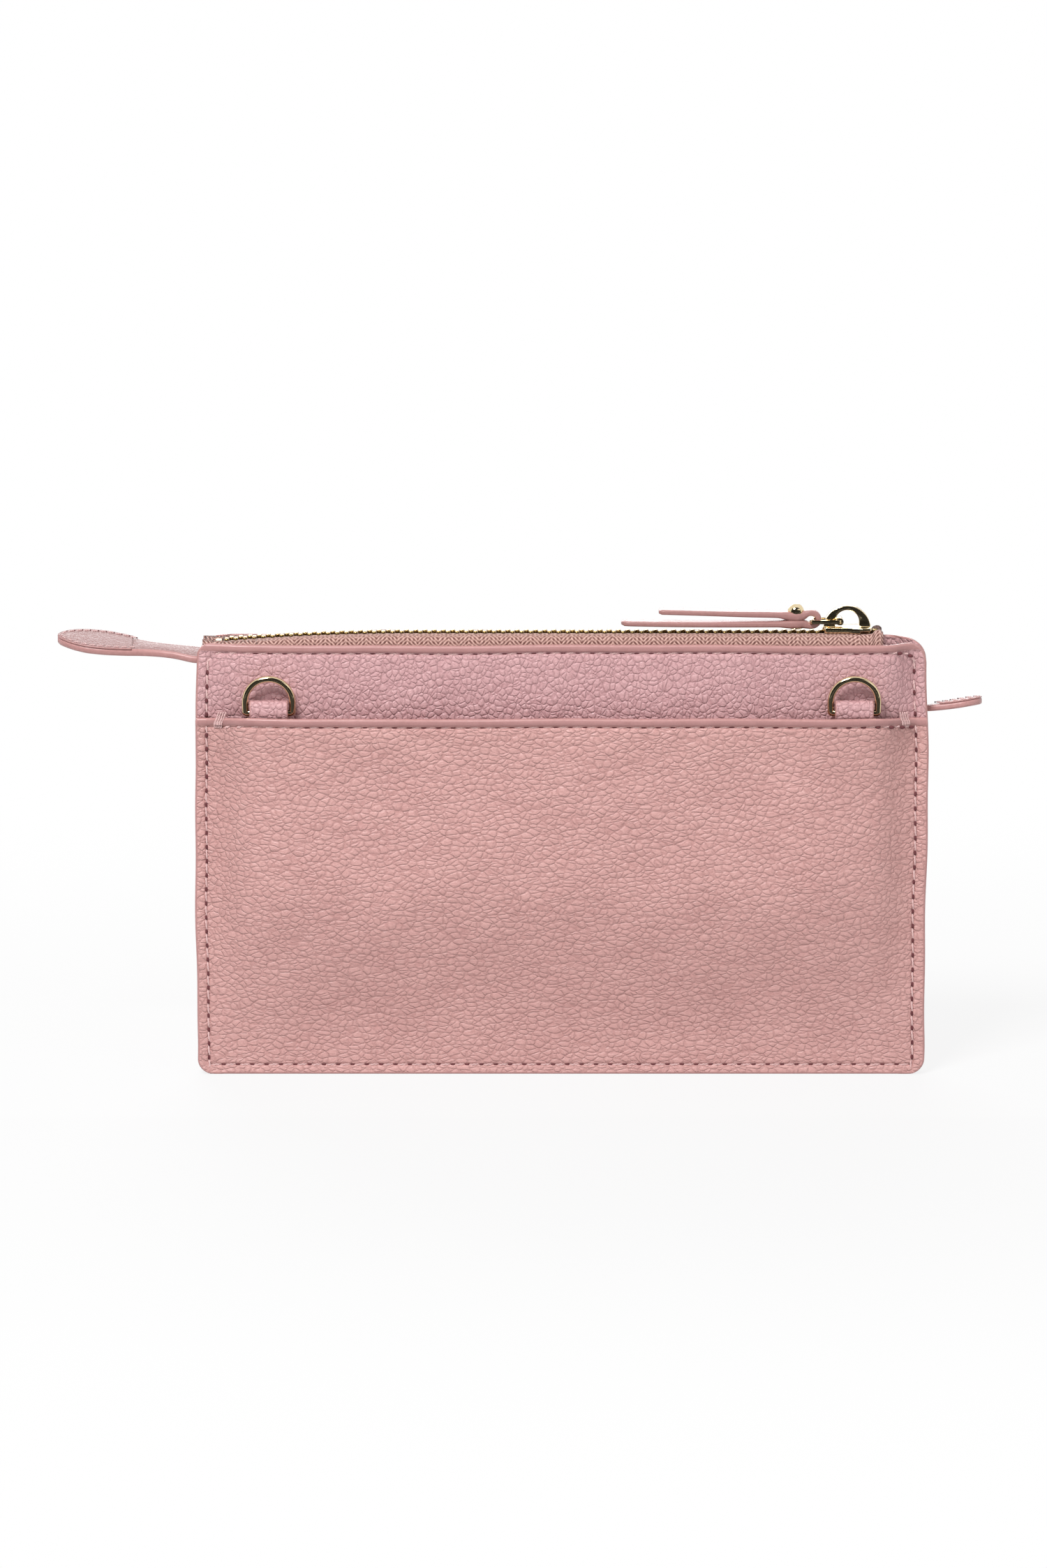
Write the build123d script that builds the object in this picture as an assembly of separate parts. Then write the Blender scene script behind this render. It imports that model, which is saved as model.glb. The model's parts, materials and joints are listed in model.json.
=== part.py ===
from build123d import *
import math
import os

# Zip-top leather wristlet pouch.  Millimetres, +Z up, back face towards -Y, origin at the middle
# of the bottom edge.  Every wall is a thin sheet that bulges between its sewn sides and foot.
# The main zip closes towards +X. The front pocket's smaller zip is its mirror image.

# --- driving dimensions -------------------------------------------------------------------------
BODY_WIDTH = 216.0          # side edge to side edge
BODY_HEIGHT = 129.3         # bottom edge to the top edge of the back panel
POCKET_DROP = 20.9          # slip pocket's top edge below the back panel's
FRONT_DROP = 20.3           # zipped front pocket's top edge below the back panel's
MIDDLE_RISE = 1.5           # how far the middle wall stands above the back panel
FOOT_RADIUS = 4.6           # outline corners at the bottom
TOP_RADIUS = 3.4            # outline corners at the top of the outer walls
MIDDLE_RADIUS = 6.5         # outline corners at the top of the middle wall

LEATHER = 1.2               # thickness of a leather wall
LINING = 0.3                # thickness of a lining
PLY_GAP = 0.12              # air between two plies that lie on each other
SEAM = 3.5                  # width of the sewn edge at the sides and the foot

MAIN_GAP = 8.6              # main compartment, wall to wall, at its fullest
POCKET_GAP = 5.4            # slip pocket at its mouth
FRONT_GAP = 5.6             # front pocket, at its fullest below the zip
SIDE_RUN = 30.0             # how far from the side seam a wall reaches its full bulge
POCKET_RUN = 13.0           # the same for the slip pocket
FOOT_RUN = 58.0             # the same, up from the foot
MOUTH_DROP = 42.0           # height below a mouth over which the wall flares to it

MAIN_MOUTH = 11.0           # main mouth, wall to wall
MAIN_CORNER = 6.4           # what is left of it where the zip tail leaves at the side
FRONT_MOUTH = 9.0
FRONT_CORNER = 6.8
MOUTH_SHUT = 9.5            # length over which a mouth shuts beyond the closed slider
TAIL_TAPER = 6.0            # how far before a zip's tail its mouth starts to narrow

TOOTH_PITCH = 2.7           # along one row of the main zip
TOOTH_HEIGHT = 2.2
TOOTH_LENGTH = 3.15         # across the chain
TOOTH_OVERLAP = 0.45        # how far a head reaches past the chain's middle
CHAIN_RISE = 2.6            # chain's middle above the wall's top edge
CHAIN_DIP = 2.23            # how far the main chain dives into the corner at its tail
CHAIN_DIP_RUN = 53.0        # length over which it dives
FRONT_ZIP_SCALE = 0.75      # the front zip is the same zip, three quarters of the size
TAPE = 0.5                  # thickness of the zip tape
TAPE_HEM = 8.0              # how far the tape reaches down inside a wall
TAPE_STAND = 0.3            # from the wall that it is sewn to
SLIDER_INSET = 24.4         # closed slider's middle from the side edge
MAIN_TAIL_INSET = 10.0      # first tooth from the other side edge
FRONT_TAIL_INSET = 20.0

SLIDER_LENGTH = 14.5
SLIDER_REAR = 3.5           # half widths of its plates
SLIDER_NOSE = 4.8
SLIDER_PLATE = 1.0
SLIDER_CHANNEL = 2.7        # height between the plates
SLIDER_SLIT = 1.3           # height left for the tape between the flanges
SPREAD_SLOPE = 0.3          # how fast the slider parts the two rows
BRIDGE_WIDTH = 2.8
BRIDGE_HALF = 6.9           # outer half length of the bridge's arch
BRIDGE_RISE = 6.4
BRIDGE_FOOT = 3.4           # thickness of the arch at its feet
BRIDGE_CROWN = 1.3          # and at its top

LINK_PIVOT_RISE = 1.6       # above the slider's top plate
LINK_INNER = 2.2            # pivot to the bar inside the bridge
LINK_OUTER = 10.4           # pivot to the bar that carries the pull
LINK_BAR = 2.2              # diameter of the inner bar
LINK_WIRE = 1.1
LINK_WIDTH = 6.7

STRAP = 2.1                 # thickness of the pull's leather
STRAP_WIDTH = 5.5
STRAP_NECK = 3.6            # its width inside the link
STRAP_REACH = 55.7          # link bar to the lower leg's tip
STRAP_STEP = 11.0           # how much shorter the upper leg is
STRAP_LIFT = 0.7            # how far the tips stand apart from the middle
STUD_DIAMETER = 4.8
STUD_SETBACK = 4.6          # from the link bar
STUD_STEM = 1.8
RUNNING_CLEARANCE = 0.08    # radial, a bar in its loop

RING_SPACING = 171.0        # between the two D-rings
RING_WIRE = 1.9
RING_WIDTH = 15.7           # outside, along the straight bar
RING_REACH = 10.9           # bar's middle to the top of the bow
RING_RISE = 1.6             # bar's middle above the slip pocket's edge
LOOP_WIDTH = 11.3
LOOP_DEPTH = 4.2
LOOP_CREST = 3.8            # loop's top above the bar
LOOP_TAIL = 14.0            # length sewn behind the slip pocket
LOOP_STAND = 0.35           # from the wall behind it

TAB_THICKNESS = 2.0
TAB_NECK = 6.2
MAIN_TAB_REACH = 41.8       # how far the main zip's tail tab stands out of the side
MAIN_TAB_WIDTH = 14.0
MAIN_TAB_LIFT = 4.4         # how far it climbs on the way
MAIN_TAB_ROLL = 13.0        # degrees that it is turned about its length
FRONT_TAB_REACH = 15.9
FRONT_TAB_WIDTH = 11.0
FRONT_TAB_LIFT = 2.2
FRONT_TAB_ROLL = 6.0
FRONT_TAB_SINK = 2.0        # its root lies this much below the front chain, so that the pull clears it
MAIN_TAB_SINK = 2.4

# --- worked out ---------------------------------------------------------------------------------
HALF_WIDTH = BODY_WIDTH / 2
POCKET_HEIGHT = BODY_HEIGHT - POCKET_DROP
FRONT_HEIGHT = BODY_HEIGHT - FRONT_DROP
MIDDLE_HEIGHT = BODY_HEIGHT + MIDDLE_RISE
PLY = LINING + 1.5 * PLY_GAP                    # half the plies inside a shut compartment
MAIN_Y = -PLY - LEATHER / 2                     # main zip's plane, as the middle wall's foot is at 0
SHEET_MARGIN = 2.0                              # sheets are made this much too large, then cut
SLIDER_HALF_HEIGHT = SLIDER_CHANNEL / 2 + SLIDER_PLATE
LINK_PIVOT = SLIDER_HALF_HEIGHT + LINK_PIVOT_RISE       # above the chain's middle
TOOTH_REACH = TOOTH_LENGTH - TOOTH_OVERLAP              # chain's middle to a tooth's outer end
SLIDER_X = HALF_WIDTH - SLIDER_INSET


# --- shape of the walls -------------------------------------------------------------------------
def ease(value, low, high):
    """0 at low and below, 1 at high and above, smooth between."""
    share = min(1.0, max(0.0, (value - low) / (high - low)))
    return share * share * (3 - 2 * share)


def side_ease(x, run):
    return ease(HALF_WIDTH - SEAM - abs(x), 0, run)


def belly(x, z, gap):
    """Fullness of a compartment away from its mouth."""
    return gap * side_ease(x, SIDE_RUN) * ease(z, SEAM, SEAM + FOOT_RUN)


def main_gap(x, z):
    """Width of the main compartment: it shuts at the slider's side, and the tail props it open."""
    share = ease(z, BODY_HEIGHT - MOUTH_DROP, BODY_HEIGHT - 5)
    tail = ease(HALF_WIDTH + x, 0, MAIN_TAIL_INSET + TAIL_TAPER)
    mouth = MAIN_CORNER + (MAIN_MOUTH - MAIN_CORNER) * tail
    mouth *= ease(HALF_WIDTH - SEAM - x, 0, MOUTH_SHUT)
    return belly(x, z, MAIN_GAP) * (1 - share) + mouth * share


def back_inner(x, z):
    return MAIN_Y - main_gap(x, z) / 2 - PLY


def back_outer(x, z):
    return back_inner(x, z) - LEATHER


def middle_inner(x, z):
    return MAIN_Y + main_gap(x, z) / 2 + PLY


def middle_outer(x, z):
    return middle_inner(x, z) + LEATHER


def pocket_outer(x, z):
    fullness = side_ease(x, POCKET_RUN) * ease(z, SEAM, SEAM + FOOT_RUN)
    return back_outer(x, z) - PLY_GAP - POCKET_GAP * fullness - LEATHER


FRONT_CHAIN_Y = middle_outer(0, FRONT_HEIGHT) + PLY + FRONT_MOUTH / 2


def front_inner(x, z):
    """Inner face of the front pocket's wall: bulged below, and set off its straight zip above."""
    share = ease(z, FRONT_HEIGHT - MOUTH_DROP, FRONT_HEIGHT - 4)
    seam = middle_outer(x, z) + 2 * PLY
    shut = ease(HALF_WIDTH - SEAM + x, 0, MOUTH_SHUT)
    tail = ease(HALF_WIDTH - x, 0, FRONT_TAIL_INSET + TAIL_TAPER)
    corner = seam + FRONT_CORNER
    level = FRONT_CHAIN_Y + FRONT_MOUTH / 2
    mouth = seam + (corner + (level - corner) * tail - seam) * shut
    return (seam + belly(x, z, FRONT_GAP)) * (1 - share) + mouth * share


def outline(height, top_radius, inset):
    """Upright block with the pouch's outline, thick enough to cut any sheet."""
    with BuildSketch(Plane.XZ) as plate:
        with Locations((0, (height + inset) / 2)):
            Rectangle(BODY_WIDTH - 2 * inset, height - inset)
        fillet(plate.vertices().group_by(Axis.Y)[0], FOOT_RADIUS)
        fillet(plate.vertices().group_by(Axis.Y)[-1], top_radius)
    return extrude(plate.sketch, 60, both=True)


def spaced(places):
    """Sorted, without those that lie within 2 mm of the one before."""
    kept = []
    for place in sorted(places):
        if not kept or place - kept[-1] > 2:
            kept.append(place)
    return kept


# Every sheet bends at the same columns and rows, so that plies lie parallel everywhere.
HALF_COLUMNS = [HALF_WIDTH - SEAM - share * SIDE_RUN for share in (1, 0.68, 0.48, 0.3, 0.15, 0)]
COLUMNS = [-HALF_WIDTH - SHEET_MARGIN, *(-x for x in reversed(HALF_COLUMNS)),
           *HALF_COLUMNS, HALF_WIDTH + SHEET_MARGIN]
ROWS = spaced([
    -SHEET_MARGIN, SEAM, SEAM + 0.3 * FOOT_RUN, SEAM + 0.6 * FOOT_RUN, SEAM + FOOT_RUN,
    FRONT_HEIGHT - 0.7 * MOUTH_DROP, FRONT_HEIGHT - 0.35 * MOUTH_DROP, FRONT_HEIGHT - 4,
    BODY_HEIGHT - 0.3 * MOUTH_DROP, BODY_HEIGHT - 5, MIDDLE_HEIGHT + SHEET_MARGIN,
])


def between(stops, place):
    """The two stops round a place, and its share of the way from the first to the second."""
    for low, high in zip(stops, stops[1:]):
        if place <= high:
            break
    return low, high, (place - low) / (high - low)


def flat(face, x, z):
    """Y of a wall where its sheet runs straight between the columns and rows."""
    left, right, across = between(COLUMNS, x)
    below, above, up = between(ROWS, z)
    low = face(left, below) * (1 - across) + face(right, below) * across
    high = face(left, above) * (1 - across) + face(right, above) * across
    return low * (1 - up) + high * up


def sheet(face, thickness, height, top_radius, inset=0.0):
    """A wall: the surface y = face(x, z), given its thickness along Y and cut to its outline."""
    sections = []
    for x in COLUMNS:
        near = [(x, face(x, z), z) for z in ROWS]
        far = [(x, y + thickness, z) for x, y, z in reversed(near)]
        sections.append(make_face(Polyline(*near, *far, close=True).edges()))
    return loft(sections, ruled=True) & outline(height, top_radius, inset)


# --- zip ----------------------------------------------------------------------------------------
def spread(x, scale):
    """How far a slider has moved each row from the chain's middle, at x along a zip."""
    reach = min(max(x - SLIDER_X, 0), 5.2 * scale)
    return reach * SPREAD_SLOPE


class Zip:
    """One zip in its own place, closing towards +X."""

    def __init__(self, scale, y, z, tail_inset, dip, walls):
        self.scale = scale
        self.y = y
        self.z = z
        self.dip = dip
        self.walls = walls                  # inner face of the wall on each side, as y(x, z)
        self.tail = -HALF_WIDTH + tail_inset
        self.travel = SLIDER_X - self.tail - 9 * scale

    def chain_z(self, x):
        low = min(0, x - self.tail - CHAIN_DIP_RUN) / CHAIN_DIP_RUN
        return self.z - self.dip * low * low

    def teeth(self, side):
        """A row of teeth whose heads lie between the other row's. Its side is -1 or 1."""
        k = self.scale
        pitch = TOOTH_PITCH * k
        inner, outer = -TOOTH_OVERLAP * k, TOOTH_REACH * k
        head_half, root_half = 0.58 * k, 0.45 * k
        with BuildSketch() as head:
            Polygon((-head_half, inner), (head_half, inner), (root_half, outer),
                    (-root_half, outer), align=None)
        tooth = extrude(head.sketch, TOOTH_HEIGHT * k / 2, both=True)
        if side < 0:
            tooth = mirror(tooth, Plane.XZ)
        count = int((SLIDER_X + 5.2 * k - self.tail) / pitch)
        row = []
        for i in range(count):
            x = self.tail + (i + (0.5 if side > 0 else 0)) * pitch
            y = self.y + side * spread(x, k)
            row.append(Pos(x, y, self.chain_z(x)) * tooth)
        return Compound(children=row)

    def tape(self, side, wall_top):
        """The tape from the teeth's outer ends over the wall's top edge and down inside it."""
        k = self.scale
        wall = self.walls[0 if side < 0 else 1]
        thick = TAPE * k
        start = self.tail - 5
        end = SLIDER_X + 10.4 * k
        own = [start, SLIDER_X - 1, SLIDER_X + 5.2 * k, end]
        shared = [x for x in COLUMNS if start < x < end and min(abs(x - y) for y in own) > 1]
        columns = sorted(own + shared)
        sections = []
        for x in columns:
            edge = (TOOTH_REACH + 0.1) * k + spread(x, k)
            over = (flat(wall, x, wall_top) - self.y) * side - TAPE_STAND
            under = (flat(wall, x, wall_top - TAPE_HEM) - self.y) * side - TAPE_STAND
            shoulder = min((SLIDER_NOSE + 0.3) * k, over - thick - 0.05)
            shoulder = max(shoulder, edge + 0.1)
            level = self.chain_z(x)
            path = [(edge, level + thick / 2), (shoulder + 0.8 * thick, level + thick / 2),
                    (over, wall_top + 0.3), (under, wall_top - TAPE_HEM),
                    (under - thick, wall_top - TAPE_HEM), (over - thick, wall_top + 0.1),
                    (shoulder, level - thick / 2), (edge, level - thick / 2)]
            points = [(x, self.y + side * y, z) for y, z in path]
            sections.append(make_face(Polyline(*points, close=True).edges()))
        return loft(sections, ruled=True)

    def stops(self):
        """The bottom stop across both rows, and a top stop on each tape."""
        k = self.scale
        low = Pos(self.tail - 2.4 * k, self.y, self.chain_z(self.tail - 2.4 * k))
        solids = [low * Box(2.0 * k, 2 * TOOTH_REACH * k, TOOTH_HEIGHT * k)]
        top_x = SLIDER_X + SLIDER_LENGTH * k / 2 + 1.2 * k
        for side in (-1, 1):
            y = self.y + side * (spread(top_x, k) + TOOTH_REACH * k / 2)
            solids.append(Pos(top_x, y, self.z) * Box(1.6 * k, TOOTH_REACH * k, TOOTH_HEIGHT * k))
        return Compound(children=solids)

    def place(self, x=0.0, rise=0.0):
        """A point given from the slider's middle, in the zip's own place and size."""
        k = self.scale
        return Pos(SLIDER_X + x * k, self.y, self.z + rise * k)

    def slider(self):
        """Two plates with flanges round a Y-shaped channel, a wedge between, a bridge on top."""
        half = SLIDER_LENGTH / 2
        flare = (SLIDER_NOSE - SLIDER_REAR) / SPREAD_SLOPE
        side_line = [(-half, SLIDER_REAR - 1.0), (1.0 - half, SLIDER_REAR), (0, SLIDER_REAR),
                     (flare, SLIDER_NOSE), (half - 0.5, SLIDER_NOSE - 0.5), (half, 2.4)]
        mirrored = [(x, -y) for x, y in reversed(side_line)]
        with BuildSketch() as plan:
            Polygon(*side_line, *mirrored, align=None)
        inner = SLIDER_REAR - 0.6
        with BuildSketch() as channel:
            Polygon((-half - 1, inner), (0, inner), (half + 1, inner + (half + 1) * SPREAD_SLOPE),
                    (half + 1, -inner - (half + 1) * SPREAD_SLOPE), (0, -inner),
                    (-half - 1, -inner), align=None)
        block = extrude(plan.sketch, SLIDER_HALF_HEIGHT, both=True)
        block -= extrude(channel.sketch, SLIDER_CHANNEL / 2, both=True)
        block -= Box(2 * SLIDER_LENGTH, 4 * SLIDER_NOSE, SLIDER_SLIT)
        block -= Pos(half, 0, 0) * Box(2 * (half - 3.8), 4 * SLIDER_NOSE, SLIDER_CHANNEL)
        wedge_tip = 2.1
        wedge_end = half - 0.7
        wedge_half = (wedge_end - 1.5) * SPREAD_SLOPE - TOOTH_OVERLAP - 0.14
        with BuildSketch() as wedge:
            Polygon((wedge_tip, 0), (wedge_end - 1.5, wedge_half), (wedge_end, wedge_half),
                    (wedge_end, -wedge_half), (wedge_end - 1.5, -wedge_half), align=None)
        block += extrude(wedge.sketch, SLIDER_HALF_HEIGHT - 0.1, both=True)
        block += Pos(0, 0, SLIDER_HALF_HEIGHT - 0.2) * self.bridge()
        return self.place() * scale(block, by=self.scale)

    def bridge(self):
        """Arch over the slider, thick at its feet and slim at its crown."""
        inner_half = BRIDGE_HALF - BRIDGE_FOOT
        inner_rise = BRIDGE_RISE - BRIDGE_CROWN
        with BuildSketch(Plane.XZ) as arch:
            with BuildLine():
                ThreePointArc((-BRIDGE_HALF, 0), (0, BRIDGE_RISE), (BRIDGE_HALF, 0))
                Line((BRIDGE_HALF, 0), (inner_half, 0))
                Line((inner_half, 0), (inner_half, inner_rise - inner_half))
                ThreePointArc((inner_half, inner_rise - inner_half), (0, inner_rise),
                              (-inner_half, inner_rise - inner_half))
                Line((-inner_half, inner_rise - inner_half), (-inner_half, 0))
                Line((-inner_half, 0), (-BRIDGE_HALF, 0))
            make_face()
        return extrude(arch.sketch, BRIDGE_WIDTH / 2, both=True)

    def link(self):
        """Flat cast ring that swings round the bridge's near leg, its inner bar inside the arch."""
        length = LINK_OUTER - LINK_INNER
        with BuildSketch() as plan:
            RectangleRounded(length + LINK_WIRE, LINK_WIDTH, 1.4)
            RectangleRounded(length - LINK_WIRE, LINK_WIDTH - 2 * LINK_WIRE, 0.8,
                             mode=Mode.SUBTRACT)
        ring = Pos(-LINK_INNER - length / 2, 0, 0) * extrude(plan.sketch, LINK_WIRE / 2, both=True)
        bar = Pos(-LINK_INNER, 0, 0) * Rot(X=90) * Cylinder(
            LINK_BAR / 2, LINK_WIDTH - 2 * LINK_WIRE + 0.6
        )
        return self.place(0, LINK_PIVOT) * scale(ring + bar, by=self.scale)

    def leg(self, reach, side):
        """Side view of one leg of the strap, from the link's bar to its tip."""
        touch = 0.05
        tip = STRAP_LIFT + touch
        near = [(0, touch), (-0.45 * reach, touch), (-reach, tip)]
        far = [(-reach, tip + STRAP), (-0.45 * reach, touch + STRAP), (-2, touch + STRAP),
               (0, touch + STRAP + 0.5)]
        return [(x, side * z) for x, z in near + far]

    def strap(self):
        """Leather folded round the link's outer bar, its two legs riveted by the stud."""
        bore = LINK_WIRE * 0.71 + RUNNING_CLEARANCE
        with BuildSketch(Plane.XZ) as side_view:
            Polygon(*self.leg(STRAP_REACH - STRAP_STEP, 1), align=None)
            Polygon(*self.leg(STRAP_REACH, -1), align=None)
            Circle(bore + STRAP - 0.25)
            Circle(bore, mode=Mode.SUBTRACT)
        strap = extrude(side_view.sketch, STRAP_WIDTH / 2, both=True)
        for side in (-1, 1):
            strap -= Pos(0.2, side * (STRAP_NECK + STRAP_WIDTH) / 2, 0) * Box(
                2 * 3.0, STRAP_WIDTH, 4 * STRAP
            )
        hole = STUD_STEM / 2 + RUNNING_CLEARANCE
        strap -= Pos(-STUD_SETBACK, 0, 0) * Cylinder(hole, 4 * STRAP)
        return self.place(-LINK_OUTER, LINK_PIVOT) * scale(strap, by=self.scale)

    def stud(self):
        """Ball-headed rivet through both legs."""
        seat = STRAP + 0.1
        radius = STUD_DIAMETER / 2
        ball = seat + 0.7
        foot = math.sqrt(radius ** 2 - (ball - seat) ** 2)
        rings = [(seat, foot)]
        for turn in (8, 32, 54, 74):
            angle = math.radians(turn)
            rings.append((ball + radius * math.sin(angle), radius * math.cos(angle)))
        rivet = loft([Pos(0, 0, z) * RegularPolygon(r, 12) for z, r in rings], ruled=True)
        rivet += Cylinder(STUD_STEM / 2, 2 * seat + 0.2)
        rivet += Pos(0, 0, -seat - 0.15) * extrude(RegularPolygon(radius, 12), 0.15, both=True)
        return self.place(-LINK_OUTER - STUD_SETBACK, LINK_PIVOT) * scale(rivet, by=self.scale)


def tab(places, roll):
    """Leather tongue sewn over a zip's tail: (x, y, z, width) from the pouch to its tip."""
    turn = math.radians(roll)
    sections = []
    for x, y, z, width in places:
        plane = Plane((x, y, z), x_dir=(0, math.cos(turn), math.sin(turn)), z_dir=(1, 0, 0))
        sections.append(plane * Rectangle(width, TAB_THICKNESS))
    return loft(sections, ruled=True)


def main_tab(zip_y, z):
    """Tongue that flattens out of the corner: it widens, climbs, then rounds off at the tip."""
    places = [(-HALF_WIDTH + 3.4, zip_y, z - 0.6, TAB_NECK), (-HALF_WIDTH, zip_y, z, TAB_NECK)]
    for share, width in ((0.14, 0.53), (0.3, 0.72), (0.5, 0.94), (0.7, 1.0), (0.85, 0.82),
                         (0.95, 0.5), (1.0, 0.1)):
        lift = MAIN_TAB_LIFT * math.sin(min(1, share / 0.85) * math.pi / 2)
        x = -HALF_WIDTH - share * MAIN_TAB_REACH
        places.append((x, zip_y, z + lift, MAIN_TAB_WIDTH * width))
    return tab(places, MAIN_TAB_ROLL)


def front_tab(inner_y, corner_y, z):
    """Its smaller mate, mirrored with its zip: it slants back to where the side seam lets it out."""
    start = -HALF_WIDTH + FRONT_TAIL_INSET - 6
    bend_y = 0.2 * inner_y + 0.8 * corner_y
    places = [(start, inner_y, z, TAB_NECK), ((start - HALF_WIDTH) / 2, bend_y, z, TAB_NECK),
              (-HALF_WIDTH, corner_y, z, TAB_NECK)]
    for share, width in ((0.35, 0.8), (0.6, 1.0), (0.82, 0.85), (0.94, 0.5), (1.0, 0.1)):
        x = -HALF_WIDTH - FRONT_TAB_REACH * share
        places.append((x, corner_y, z + FRONT_TAB_LIFT * share, FRONT_TAB_WIDTH * width))
    return tab(places, -FRONT_TAB_ROLL)


# --- D-rings ------------------------------------------------------------------------------------
def ring_seat(x):
    """Where a ring's bar lies on the back wall: its loop leans with the wall and clears it."""
    bar_z = POCKET_HEIGHT + RING_RISE
    low, high = -LOOP_TAIL, LOOP_CREST
    slope = (flat(back_outer, x, bar_z + low) - flat(back_outer, x, bar_z + high)) / (high - low)
    y = 0
    for side in (-1, 0, 1):
        for rise in (low, low / 2, 0, high):
            wall_y = flat(back_outer, x + side * LOOP_WIDTH / 2, bar_z + rise)
            y = min(y, wall_y + rise * slope)
    lean = math.degrees(math.atan(slope))
    return Pos(x, y - LOOP_STAND - LOOP_DEPTH / 2, bar_z) * Rot(X=lean)


def d_ring():
    """Wire bent to a D, its straight round bar on the X axis, the bow up."""
    wire = RING_WIRE / 2
    half = RING_WIDTH / 2 - wire
    shoulder = RING_REACH - wire - half
    stations = [(half, -wire, 0)]
    for turn in range(0, 181, 15):
        angle = math.radians(turn)
        stations.append((half * math.cos(angle), shoulder + half * math.sin(angle), turn))
    stations.append((-half, -wire, 180))
    sections = []
    for x, z, turn in stations:
        sections.append(Pos(x, 0, z) * Rot(Y=-turn) * RegularPolygon(wire * 1.03, 8, rotation=22.5))
    return loft(sections, ruled=True) + Rot(Y=90) * Cylinder(wire, 2 * half)


def ring_loop():
    """Leather keeper folded over the ring's bar, its tail sewn behind the slip pocket."""
    half = LOOP_DEPTH / 2
    with BuildSketch(Plane.YZ) as side_view:
        with BuildLine():
            ThreePointArc((-half, LOOP_CREST - half), (0, LOOP_CREST), (half, LOOP_CREST - half))
            Line((half, LOOP_CREST - half), (half, -LOOP_TAIL))
            Line((half, -LOOP_TAIL), (0.6, -LOOP_TAIL))
            Line((0.6, -LOOP_TAIL), (0, -half - 0.6))
            Line((0, -half - 0.6), (-half, -half + 1.2))
            Line((-half, -half + 1.2), (-half, LOOP_CREST - half))
        make_face()
        Circle(RING_WIRE / 2 + RUNNING_CLEARANCE, mode=Mode.SUBTRACT)
    return extrude(side_view.sketch, LOOP_WIDTH / 2, both=True)


# --- assembly -----------------------------------------------------------------------------------
main_zip = Zip(1.0, MAIN_Y, BODY_HEIGHT + CHAIN_RISE, MAIN_TAIL_INSET, CHAIN_DIP,
               (back_inner, middle_inner))
front_zip = Zip(FRONT_ZIP_SCALE, FRONT_CHAIN_Y, FRONT_HEIGHT + CHAIN_RISE * FRONT_ZIP_SCALE,
                FRONT_TAIL_INSET, 0.0,
                (lambda x, z: middle_outer(-x, z), lambda x, z: front_inner(-x, z)))

LINING_DROP = TAPE_HEM + 0.6
LINING_INSET = 0.8
FRONT_CORNER_Y = middle_outer(HALF_WIDTH, FRONT_HEIGHT) + PLY + FRONT_CORNER / 2

parts = {
    "back_panel": sheet(back_outer, LEATHER, BODY_HEIGHT, TOP_RADIUS),
    "middle_panel": sheet(middle_inner, LEATHER, MIDDLE_HEIGHT, MIDDLE_RADIUS),
    "slip_pocket_panel": sheet(pocket_outer, LEATHER, POCKET_HEIGHT, 0.4),
    "front_panel": sheet(front_inner, LEATHER, FRONT_HEIGHT, TOP_RADIUS),
    "main_lining_back": sheet(lambda x, z: back_inner(x, z) + PLY_GAP, LINING,
                              BODY_HEIGHT - LINING_DROP, 0.4, LINING_INSET),
    "main_lining_front": sheet(lambda x, z: middle_inner(x, z) - PLY_GAP - LINING, LINING,
                               BODY_HEIGHT - LINING_DROP, 0.4, LINING_INSET),
    "front_lining_back": sheet(lambda x, z: middle_outer(x, z) + PLY_GAP, LINING,
                               FRONT_HEIGHT - LINING_DROP, 0.4, LINING_INSET),
    "front_lining_front": sheet(lambda x, z: front_inner(x, z) - PLY_GAP - LINING, LINING,
                                FRONT_HEIGHT - LINING_DROP, 0.4, LINING_INSET),
    "main_tail_tab": main_tab(MAIN_Y, main_zip.chain_z(-HALF_WIDTH) - MAIN_TAB_SINK),
    "front_tail_tab": mirror(front_tab(FRONT_CHAIN_Y, FRONT_CORNER_Y, front_zip.z - FRONT_TAB_SINK),
                             Plane.YZ),
}

for prefix, closure, wall_top in (("main", main_zip, BODY_HEIGHT), ("front", front_zip, FRONT_HEIGHT)):
    pieces = {
        "teeth_back": closure.teeth(-1),
        "teeth_front": closure.teeth(1),
        "tape_back": closure.tape(-1, wall_top),
        "tape_front": closure.tape(1, wall_top),
        "stops": closure.stops(),
        "slider": closure.slider(),
        "link": closure.link(),
        "pull_strap": closure.strap(),
        "pull_stud": closure.stud(),
    }
    for name, shape in pieces.items():
        parts[f"{prefix}_{name}"] = shape if prefix == "main" else mirror(shape, Plane.YZ)

for name, x in (("left", -RING_SPACING / 2), ("right", RING_SPACING / 2)):
    seat = ring_seat(x)
    parts[f"d_ring_{name}"] = seat * d_ring()
    parts[f"d_ring_loop_{name}"] = seat * ring_loop()

os.makedirs("parts", exist_ok=True)
for name, shape in parts.items():
    export_step(shape, f"parts/{name}.step")
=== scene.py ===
import json
import math

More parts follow.
